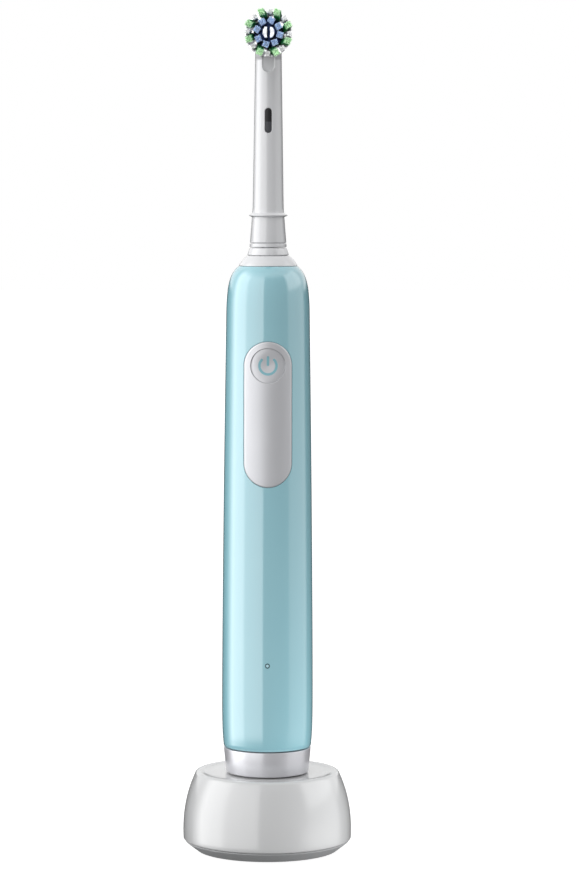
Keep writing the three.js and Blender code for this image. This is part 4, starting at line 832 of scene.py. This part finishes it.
def pocketCap():
    # a cup under the handle with a pocket for the spigot in its middle, spread like the spigot
    c = cap
    floor = [(r, c["floor"]) for r in np.linspace(*c["floorSpan"], 7)]
    lowFace = [(r, c["low"]) for r in np.linspace(*c["faceSpan"], 7)]
    outline = rounded([
        (0, c["pocketTop"], 0), (c["pocketInner"], c["pocketTop"], 0.3), (c["pocketInner"], c["low"], 0.7),
        *flat(lowFace), (c["bore"], c["low"], 0.3), (c["bore"], c["grooveLow"], 0.05),
        (c["groove"], c["grooveLow"], 0.05), (c["groove"], c["grooveHigh"], 0.05),
        (c["bore"], c["grooveHigh"], 0.05), (c["bore"], c["top"], 0.25), (c["wall"], c["top"], 0.25),
        (c["wall"], c["floor"], 0.3), *flat(floor), (c["pocketOuter"], c["floor"], 0.2),
        (c["pocketOuter"], c["top"], 0.2), (0, c["top"], 0)])
    skin = Skin(around(outline, 128, spreadBy(outline[:, 0], *c["spreadBand"])))
    addPiece("pocket_cap", skin, "white_shell", "handle", "bottom_cap")


spindle = {"low": 145.3, "thin": 1.3, "step": 151.0, "radius": 1.9, "flatFrom": 199.8, "flat": -1.4,
           "tip": 211.8}


def driveSpindle():
    # a turned shaft whose front is flattened near the tip: y is held at the flat
    s = spindle
    outline = rounded([(0, s["low"], 0), (s["thin"], s["low"], 0.15), (s["thin"], s["step"], 0),
                       (s["radius"], s["step"], 0.15), (s["radius"], s["flatFrom"] - 0.05, 0),
                       (s["radius"], s["flatFrom"] + 0.05, 0), (s["radius"], s["tip"], 0.3),
                       (0, s["tip"], 0)])
    points = around(outline, 72)
    flatted = points[:, :, 2] > s["flatFrom"]
    points[:, :, 1] = np.where(flatted, np.maximum(points[:, :, 1], s["flat"]), points[:, :, 1])
    addPiece("drive_spindle", Skin(points), "steel", "drive", "drive_shaft")


gripShell()
thumbPad()
pushButton()
powerSymbol()
chargeWindow()
turnCollars()
pocketCap()
driveSpindle()
print("handle ready")

neck = {"axle": 261.9, "plainFrom": 208.0,
        "skirt": [(4.95, 194.4, 0), (4.95, 195.8, 0.05), (5.8, 195.8, 0.28), (5.15, 204.0, 0.12),
                  (6.1, 204.42, 0.14), (6.1, 204.68, 0.14), (5.08, 205.3, 0.25), (4.95, 206.6, 0.6),
                  (4.94, 208.0, 0)],
        "radius": 4.95, "narrowing": 0.85, "taperFoot": 205.3, "taperLength": 56.6,
        "rows": [(209.0, 229.0, 1.0), (229.0, 240.4, 0.4), (241.0, 249.0, 1.0), (249.0, 261.9, 0.22)],
        "hood": 6.2, "hoodFront": 4.3, "hoodBack": 4.2, "hoodDome": 1.2, "hoodFrom": 250,
        "fade": (257.5, 4.4), "blend": (252.0, 6.0),  # heights where each starts, and over what length
        "squareFront": (253.5, 5), "squareBack": (253.0, 6), "addedPowers": (7, 1.0),
        "windowLow": 231.72, "windowHigh": 237.38, "window": 1.12, "windowMargin": 1.9, "lip": 0.16,
        "pocket": -3.3, "scoopFoot": 251.9, "scoopLow": 249, "scoopHigh": 259, "scoopHalf": 2.08,
        "scoopSoft": 0.24, "scoopFace": -3.55,
        "denseHalf": 2.9, "denseStep": 0.145, "sparse": 44,
        "bore": [(0, 256.9, 0), (2.6, 256.9, 0.2), (2.6, 216.95, 0.1), (4.05, 215.5, 0.1),
                 (4.05, 194.4, 0.1), (4.95, 194.4, 0)],
        "discRoom": 5.3, "roomSpan": (-2.3, -8.0), "armHalf": 2.26, "armLow": 254.7,
        "armSpan": (-10.0, 0.0), "pinHole": 0.7, "pinSpan": (3.3, -8.0)}
almostNothing = 1e-6  # keeps the hood's width above zero at its top


def sectionLoops(width, front, back, powerFront, powerBack):
    # each row is |x / width|^p + |y / depth|^p = 1, with one depth and power in front and another
    # behind, read at places along its own length that are closest together in front
    angle = np.linspace(0, math.pi, 361)
    ahead = np.cos(angle) > 0
    power = np.where(ahead, powerFront[:, None], powerBack[:, None])
    depth = np.where(ahead, front[:, None], back[:, None])
    radius = ((np.abs(np.sin(angle)) / width[:, None]) ** power
              + (np.abs(np.cos(angle)) / depth) ** power) ** (-1 / power)
    x, y = radius * np.sin(angle), -radius * np.cos(angle)
    length = np.hypot(np.diff(x, axis=1), np.diff(y, axis=1)).cumsum(1)
    length = np.hstack([np.zeros((len(x), 1)), length])
    dense = np.arange(0, neck["denseHalf"], neck["denseStep"])
    rows = []
    for px, py, s in zip(x, y, length):
        places = np.concatenate([dense, np.linspace(neck["denseHalf"], s[-1], neck["sparse"])])
        qx, qy = np.interp(places, s, px), np.interp(places, s, py)
        rows.append(np.stack([np.r_[qx, -qx[-2:0:-1]], np.r_[qy, qy[-2:0:-1]]], 1))
    return np.array(rows)


def taper(z):
    # the neck's radius falls evenly with height
    return neck["radius"] - neck["narrowing"] * (z - neck["taperFoot"]) / neck["taperLength"]


def rise(z, start, length):
    # 0 up to a height and 1 from a length above it
    return smoothStep((z - start) / length)


def brushNeck():
    # sections up the neck: the skirt and flange, the taper, and the hood. The hood's width is the eighth
    # root of the fading neck's and the round hood's eighth powers together
    n = neck
    skirt = rounded(n["skirt"], steps=5)
    dome = n["axle"] + n["hood"] * np.sin(np.linspace(0, math.pi / 2, 26))
    z = np.concatenate([skirt[:, 1], *(np.arange(*rows) for rows in n["rows"]), dome])
    inSkirt = np.interp(np.arange(len(z)), np.arange(len(skirt)), skirt[:, 0])
    plain = np.where(z <= n["plainFrom"], inSkirt, taper(z))
    hood = np.sqrt(np.maximum(n["hood"] ** 2 - (z - n["axle"]) ** 2, 1e-13))
    hood = np.where(z < n["axle"] - n["hood"], almostNothing, hood)
    fading = np.maximum(plain * (1 - rise(z, *n["fade"])), almostNothing)
    width = np.where(z > n["hoodFrom"], (fading**8 + hood**8) ** (1 / 8), plain)
    blend = rise(z, *n["blend"])
    front = plain + (n["hoodFront"] - plain) * blend
    domed = np.clip((z - n["axle"]) / n["hood"], 0, 1) ** 2
    back = plain + (n["hoodBack"] - plain) * blend - n["hoodDome"] * domed
    frontPower, backPower = n["addedPowers"]
    loops = sectionLoops(width, front, back, 2 + frontPower * rise(z, *n["squareFront"]),
                         2 + backPower * rise(z, *n["squareBack"]))
    x, y = loops[:, :, 0], loops[:, :, 1]
    level = z[:, None] + 0 * x
    # the scoop under the bristles is held back to a flat face inside a round-ended strip
    reach = np.hypot(x, np.maximum(n["scoopFoot"] - level, 0))
    scooped = smoothStep((n["scoopHalf"] - reach) / n["scoopSoft"])
    scooped = scooped * (y < 0) * (level > n["scoopLow"]) * (level < n["scoopHigh"])
    y = y + (np.maximum(y, n["scoopFace"]) - y) * scooped
    outer = np.stack([x, y, level], 2)
    angle = np.arctan2(outer[40, :, 0], -outer[40, :, 1])
    bore = rounded(n["bore"], steps=4)[:-1]
    inner = np.stack([bore[:, :1] * np.sin(angle), -bore[:, :1] * np.cos(angle),
                      bore[:, 1:] + 0 * angle], 2)
    points = np.vstack([inner, outer])
    patch = (len(inner) + int(np.argmin(abs(z - (n["windowLow"] - n["windowMargin"])))),
             len(inner) + int(np.argmin(abs(z - (n["windowHigh"] + n["windowMargin"])))), -12, 12)
    skin = Skin()
    grid = skin.sheet(points, holes=[patch])
    windowPocket(skin, points.reshape(-1, 3), frameLoop(grid, *patch))
    piece = addPiece("brush_neck", skin, "white_shell", "head", "head_neck")
    half, low = n["armHalf"], n["armLow"]
    arm = prismSkin([(-half, low), (half, low), (half, n["axle"]), (-half, n["axle"])], *n["armSpan"])
    carve(piece, rodSkin(n["discRoom"], *n["roomSpan"], n["axle"], 96), arm,
          rodSkin(n["pinHole"], *n["pinSpan"], n["axle"], 24))


def windowPocket(skin, points, border):
    # rings from the gap in the neck's front to the window, over its lip and down to the pocket's floor
    n = neck
    middle, across, up, away = spokes(points[border, 0], points[border, 2], n["windowLow"],
                                      n["windowHigh"])

    def ring(distance, sink=0.0, y=None):
        px, pz = distance * across, middle + distance * up
        py = -np.sqrt((taper(pz) - sink) ** 2 - px**2) if y is None else np.full(len(px), y)
        return np.stack([px, py, pz], 1)

    opening, lip = n["window"], n["lip"]
    rings = [ring(away + (opening + lip - away) * t) for t in np.linspace(0, 1, 5)[1:]]
    rings += [ring(distance, sink) for distance, sink in lipRings(opening, lip)]
    rings += [ring(distance, y=n["pocket"]) for distance in (opening, opening / 2, 0.0)]
    skin.tunnel(border, rings)


windowLabel = {"play": 0.1, "face": -4.1, "back": -3.4, "edge": 0.12}


def wearWindow():
    # a flat stadium plate with a rounded front edge
    w = windowLabel
    radius, face, back, edge = neck["window"] - w["play"], w["face"], w["back"], w["edge"]
    middle, across, up = stadiumSpokes(neck["windowLow"], neck["windowHigh"], radius, 96)
    rings = [(0.0, back), (radius, back), (radius, face + edge), (radius - 0.3 * edge, face + 0.3 * edge),
             (radius - edge, face), (0.0, face)]
    skin = Skin(np.array([np.stack([d * across, np.full(len(across), y), middle + d * up], 1)
                          for d, y in rings]))
    addPiece("wear_window", skin, "dark_label", "head", "label_plate")


carrier = {"hub": 5.0, "radius": 7.35, "well": 7.0, "back": -2.6, "step": -4.6, "rim": -6.8, "floor": -6.1,
           "pinHole": 0.7, "pinSpan": (-1.0, -5.4), "slotStart": 1.92, "slotEnd": 5.3,
           "slotHalf": (1.4, 2.0), "slotFront": -1.0, "shadeBedRadius": 4.75, "shadeBed": (-6.12, -6.3, -6.36)}


def tuftCarrier():
    # a stepped disc that points to the front, with a hole for its pin, a slot for the link, and a thin
    # dark sheet of painted shade on its floor, standing for the shade between the tufts
    c, z = carrier, neck["axle"]
    disc = rounded([(0, c["back"], 0), (c["hub"], c["back"], 0.3), (c["hub"], c["step"], 0.05),
                    (c["radius"], c["step"], 0.5), (c["radius"], c["rim"], 0.45),
                    (c["well"], c["rim"], 0.1), (c["well"], c["floor"], 0.1), (0, c["floor"], 0)])
    piece = addPiece("tuft_carrier", Skin(aroundForward(disc, z, 144)), "white_shell", "disc",
                     "bristle_disc")
    near, far, (nearHalf, farHalf) = z - c["slotStart"], z - c["slotEnd"], c["slotHalf"]
    slot = prismSkin([(-nearHalf, near), (nearHalf, near), (farHalf, far), (-farHalf, far)],
                     c["slotFront"], c["step"])
    carve(piece, slot, rodSkin(c["pinHole"], *c["pinSpan"], z, 24))
    # painted shade: a thin dark disc on the floor where the tufts shade it
    foot, edge, middle = c["shadeBed"]
    shadeBed = rounded([(0, foot, 0), (c["shadeBedRadius"], foot, 0), (c["shadeBedRadius"], edge, 0.1), (0, middle, 0)])
    addPiece("painted_shade_bed", Skin(aroundForward(shadeBed, z, 96)), "bristle_blue", "disc", look="painted_shade_bed")


dice = np.random.default_rng(7)  # every tuft's small differences come from this one seed
filament = {"radius": 0.12, "sides": 5, "root": -6.2, "places": (0.0, 0.5, 0.94, 0.985, 1.0),
            "girths": (1.0, 1.0, 0.96, 0.62, 0.0)}
unevenness = {"lattice": 0.035, "ends": (-0.3, 0.12), "tuft": (1.8, 9.0, 0.14)}


def filaments(skin, roots, tips):
    # each filament is a five-sided rod from its root to its tip with a rounded end; every filament is
    # worked out at once
    share = np.array(filament["places"])
    girth = np.array(filament["girths"]) * filament["radius"]
    count, sides = len(roots), filament["sides"]
    line = roots[:, None] + (tips - roots)[:, None] * share[None, :, None]
    angle = np.arange(sides) * fullTurn / sides
    circle = np.stack([np.cos(angle), 0 * angle, np.sin(angle)], 1)
    points = line[:, :, None] + girth[None, :, None, None] * circle[None, None]
    foot = line[:, :1, None] + 0 * circle[None, None]
    points = np.concatenate([foot, points], 1)
    levels = points.shape[1]
    start = skin.count
    skin.points.append(points.reshape(-1, 3))
    skin.count += count * levels * sides
    grid = start + np.arange(count * levels * sides).reshape(count, levels, sides)
    right = np.roll(grid, -1, 2)
    skin.faces.append(np.stack([grid[:, :-1], right[:, :-1], right[:, 1:], grid[:, 1:]], 3).reshape(-1, 4))


def blockTuft(skin, t, rootAt, tipAt, turn):
    # filaments on a lattice, each from its place in a rectangle at the root to the same place in one at
    # the tip, both turned by one angle; the slope makes the tips longer towards one side
    u, v = np.meshgrid(*(np.linspace(-0.5, 0.5, count) for count in t["counts"]))
    u, v = u.ravel(), v.ravel()
    jitter = dice.normal(0, unevenness["lattice"], (4, len(u)))
    c, s = math.cos(turn), math.sin(turn)

    def placed(at, wide, du, dv, y):
        a, b = (u + du) * wide[0], (v + dv) * wide[1]
        return np.stack([at[0] + a * c + b * s, y, neck["axle"] + at[1] - a * s + b * c], 1)

    level = t["tipY"] + dice.uniform(*unevenness["ends"], len(u)) + t["slope"] * v
    filaments(skin, placed(rootAt, t["size"], jitter[0], jitter[1], np.full(len(u), filament["root"])),
              placed(tipAt, t["tipSize"], jitter[2], jitter[3], level))


tuftRows = {
    "tufts_blue": {"slot": "bristle_blue", "stands": "blue_bristles", "start": 12.5, "root": 3.5,
                   "tip": 3.78, "lean": 0.0, "size": (1.55, 1.5), "tipSize": (1.78, 1.7),
                   "counts": (8, 8), "tipY": -14.6, "slope": 0.0, "twist": 12},
    "tufts_green": {"slot": "bristle_green", "stands": "green_bristles", "start": 37.0, "root": 5.05,
                    "tip": 6.72, "lean": -13.0, "size": (1.6, 1.35), "tipSize": (1.8, 1.9),
                    "counts": (8, 8), "tipY": -15.1, "slope": -0.35, "twist": -14},
    "tufts_white": {"slot": "bristle_white", "stands": "white_bristles", "start": 3.0, "root": 6.05,
                    "tip": 6.62, "lean": 0.0, "size": (1.05, 1.1), "tipSize": (1.3, 1.35),
                    "counts": (6, 6), "tipY": -14.9, "slope": -0.2, "twist": 10},
}


def tuftRings():
    # eight tufts a ring; the angle is clockwise from the top seen from the front, the lean turns the
    # tips round the disc, and the twist turns each tuft on itself
    for name, t in tuftRows.items():
        skin = Skin()
        for degrees in t["start"] + 45.0 * np.arange(8):
            wander, twist, tip = (dice.uniform(-1, 1, 3) * unevenness["tuft"]
                                  + (t["lean"], t["twist"], t["tip"]))
            a, b = math.radians(degrees), math.radians(degrees + wander)
            blockTuft(skin, t, (t["root"] * math.sin(a), t["root"] * math.cos(a)),
                      (tip * math.sin(b), tip * math.cos(b)), math.radians(degrees + twist))
        addPiece(name, skin, t["slot"], "disc", t["stands"])


crescents = {"rows": 20, "columns": 6, "halfWidth": 0.56, "halfHeight": 1.58, "apart": 0.84, "bow": 0.35,
             "thinning": 0.78, "jitter": 0.025, "tipY": -14.3, "wave": 0.3, "waves": 6, "ends": 0.12,
             "rootShare": 0.92}


def centreTufts():
    # two upright crescents, their backs outward by a parabola and thinner to their ends, wavy at the cut
    c = crescents
    skin = Skin()
    v = np.linspace(-1, 1, c["rows"])
    half = np.sqrt(1 - c["thinning"] * v**2)
    for side in (-1, 1):
        for column in np.linspace(-c["halfWidth"], c["halfWidth"], c["columns"]):
            jitter = dice.normal(0, c["jitter"], (2, len(v)))
            x = side * (c["apart"] + c["bow"] * (1 - v**2)) + column * half + jitter[0]
            z = c["halfHeight"] * v + jitter[1]
            y = c["tipY"] + c["wave"] * np.sin(c["waves"] * v + side)
            y = y + dice.uniform(-c["ends"], c["ends"], len(v))
            root = np.stack([c["rootShare"] * x, np.full(len(v), filament["root"]),
                             neck["axle"] + c["rootShare"] * z], 1)
            filaments(skin, root, np.stack([x, y, neck["axle"] + z], 1))
    addPiece("tufts_centre", skin, "bristle_white", "disc", "centre_bristles")


brushNeck()
wearWindow()
tuftCarrier()
tuftRings()
centreTufts()
print("brush head ready")

sky = {"strongest": 4.0,
       "stripes": [(-180, 0.03), (-128, 0.03), (-116, 0.8), (-102, 2.7), (-66, 2.7), (-60, 1.8), (-14, 1.7),
                   (-10, 0.36), (30, 0.3), (54, 0.32), (60, 0.76), (112, 0.85), (124, 0.05), (180, 0.03)],
       "stripeHeights": [(-0.36, 0.0), (-0.24, 1.0), (0.58, 1.0), (0.8, 0.0)],
       "even": [(-0.3, 0.12), (0.3, 0.95), (0.8, 1.0), (0.95, 0.75)],
       "boxes": [([(58, 0.0), (64, 1.0), (118, 1.0), (128, 0.0)],
                  [(0.18, 0.0), (0.26, 1.0), (0.66, 1.0), (0.76, 0.0)], 1.7),
                 ([(-130, 1.0), (-110, 0.0), (110, 0.0), (130, 1.0)], [(0.06, 0.0), (0.12, 1.0)], 0.95)]}


def greyRamp(tree, place, span, stops, full=1.0):
    # greys by a place; a stop gives a value between minus and plus half the span, and its brightness
    ramp = addNode(tree, "ValToRGB", {0: place})
    elements = ramp.color_ramp.elements
    while len(elements) < len(stops):
        elements.new(0.5)
    for element, (value, power) in zip(elements, stops):
        element.position = value / span + 0.5
        element.color = (power / full, power / full, power / full, 1)
    return ramp.outputs[0]


def surround():
    # soft boxes as stripes by compass direction, 0 towards the camera and positive to the right, and two
    # boxes with a lower and an upper end; above and below the stripes the light is even
    s, full = sky, sky["strongest"]
    world = bpy.data.worlds.new("studio")
    bpy.context.scene.world = world
    world.use_nodes = True
    tree = world.node_tree
    tree.nodes.clear()
    x, y, z = partsOf(tree, addNode(tree, "TexCoord").outputs["Generated"])
    compass = mathNode(tree, "ARCTAN2", x, mathNode(tree, "MULTIPLY", y, -1.0))
    place = mathNode(tree, "MULTIPLY_ADD", compass, 1 / fullTurn, 0.5)
    level = mathNode(tree, "MULTIPLY_ADD", z, 0.5, 0.5)
    stripes = greyRamp(tree, place, 360, s["stripes"], full)
    light = mixColours(tree, greyRamp(tree, level, 2, s["stripeHeights"]),
                       greyRamp(tree, level, 2, s["even"], full), stripes)
    for across, upward, power in s["boxes"]:
        share = mathNode(tree, "MULTIPLY", greyRamp(tree, place, 360, across),
                         greyRamp(tree, level, 2, upward))
        light = mixColours(tree, share, light, (power / full, power / full, power / full))
    reflected = addNode(tree, "Background", {"Color": light, "Strength": full})
    seen = addNode(tree, "Background", {"Color": (1, 1, 1), "Strength": 1.0})  # plain white
    choose = addNode(tree, "MixShader", {0: addNode(tree, "LightPath").outputs["Is Camera Ray"],
                                         1: reflected.outputs[0], 2: seen.outputs[0]})
    addNode(tree, "OutputWorld", {"Surface": choose.outputs[0]})


headLamp = {"place": (-0.03, -0.55, 0.30), "target": (0, -0.014, 0.2626), "watts": 22.0, "radius": 0.004,
            "cone": math.radians(2.4), "edge": 0.2,
            "lit": ("tuft_carrier", "painted_shade_bed", "tufts_blue", "tufts_green", "tufts_white",
                    "tufts_centre")}
lowBox = {"place": (0.12, -0.05, -0.01), "target": (0.01, 0, 0.008), "watts": 0.11, "width": 0.12,
          "height": 0.04}


def placeLamp(name, kind, spec, **settings):
    # a lamp that looks at its target, and that neither mirrors nor the camera show
    light = bpy.data.lights.new(name, kind)
    light.energy = spec["watts"]
    for key, value in settings.items():
        setattr(light, key, value)
    lamp = inScene(name, light)
    lamp.location = spec["place"]
    aim = mathutils.Vector(spec["target"]) - lamp.location
    lamp.rotation_euler = aim.to_track_quat("-Z", "Y").to_euler()
    lamp.visible_camera = lamp.visible_glossy = False
    return lamp


def lamps():
    # a narrow lamp from the front for the bristles alone, and a low box close on the charger's right
    h, b = headLamp, lowBox
    spot = placeLamp("head_lamp", "SPOT", h, shadow_soft_size=h["radius"], spot_size=h["cone"],
                     spot_blend=h["edge"])
    lit = bpy.data.collections.new("bristle_field")
    for name in h["lit"]:
        lit.objects.link(bpy.data.objects[name])
    spot.light_linking.receiver_collection = lit
    placeLamp("low_box", "AREA", b, shape="RECTANGLE", size=b["width"], size_y=b["height"])


floorSpec = {"corners": [(-3, -2, 0), (3, -2, 0), (3, 6, 0), (-3, 6, 0)], "colour": (0.25, 0.25, 0.25),
             "glow": 0.93}
view = {"place": (0.0, -1.05, 0.212), "pitch": 4.23, "yaw": 0.37, "roll": 0.12, "lens": 136.0,
        "clip": (0.01, 50)}


def floorAndCamera():
    mesh = bpy.data.meshes.new("floor")
    mesh.from_pydata(floorSpec["corners"], [], [(0, 1, 2, 3)])
    material = startLook("paleFloor", Roughness=0.8, Base_Color=floorSpec["colour"],
                         Emission_Color=(1, 1, 1), Emission_Strength=floorSpec["glow"])[0]
    mesh.materials.append(material)
    floor = inScene("floor", mesh)
    floor.visible_diffuse = floor.visible_glossy = floor.visible_shadow = False
    lens = bpy.data.cameras.new("camera")
    lens.lens = view["lens"]
    lens.clip_start, lens.clip_end = view["clip"]
    camera = inScene("camera", lens)
    camera.location = view["place"]
    camera.rotation_euler = np.radians([90 - view["pitch"], -view["roll"], -view["yaw"]])
    bpy.context.scene.camera = camera
    bpy.context.scene.view_settings.view_transform = "Standard"


surround()
lamps()
floorAndCamera()
print("studio ready")
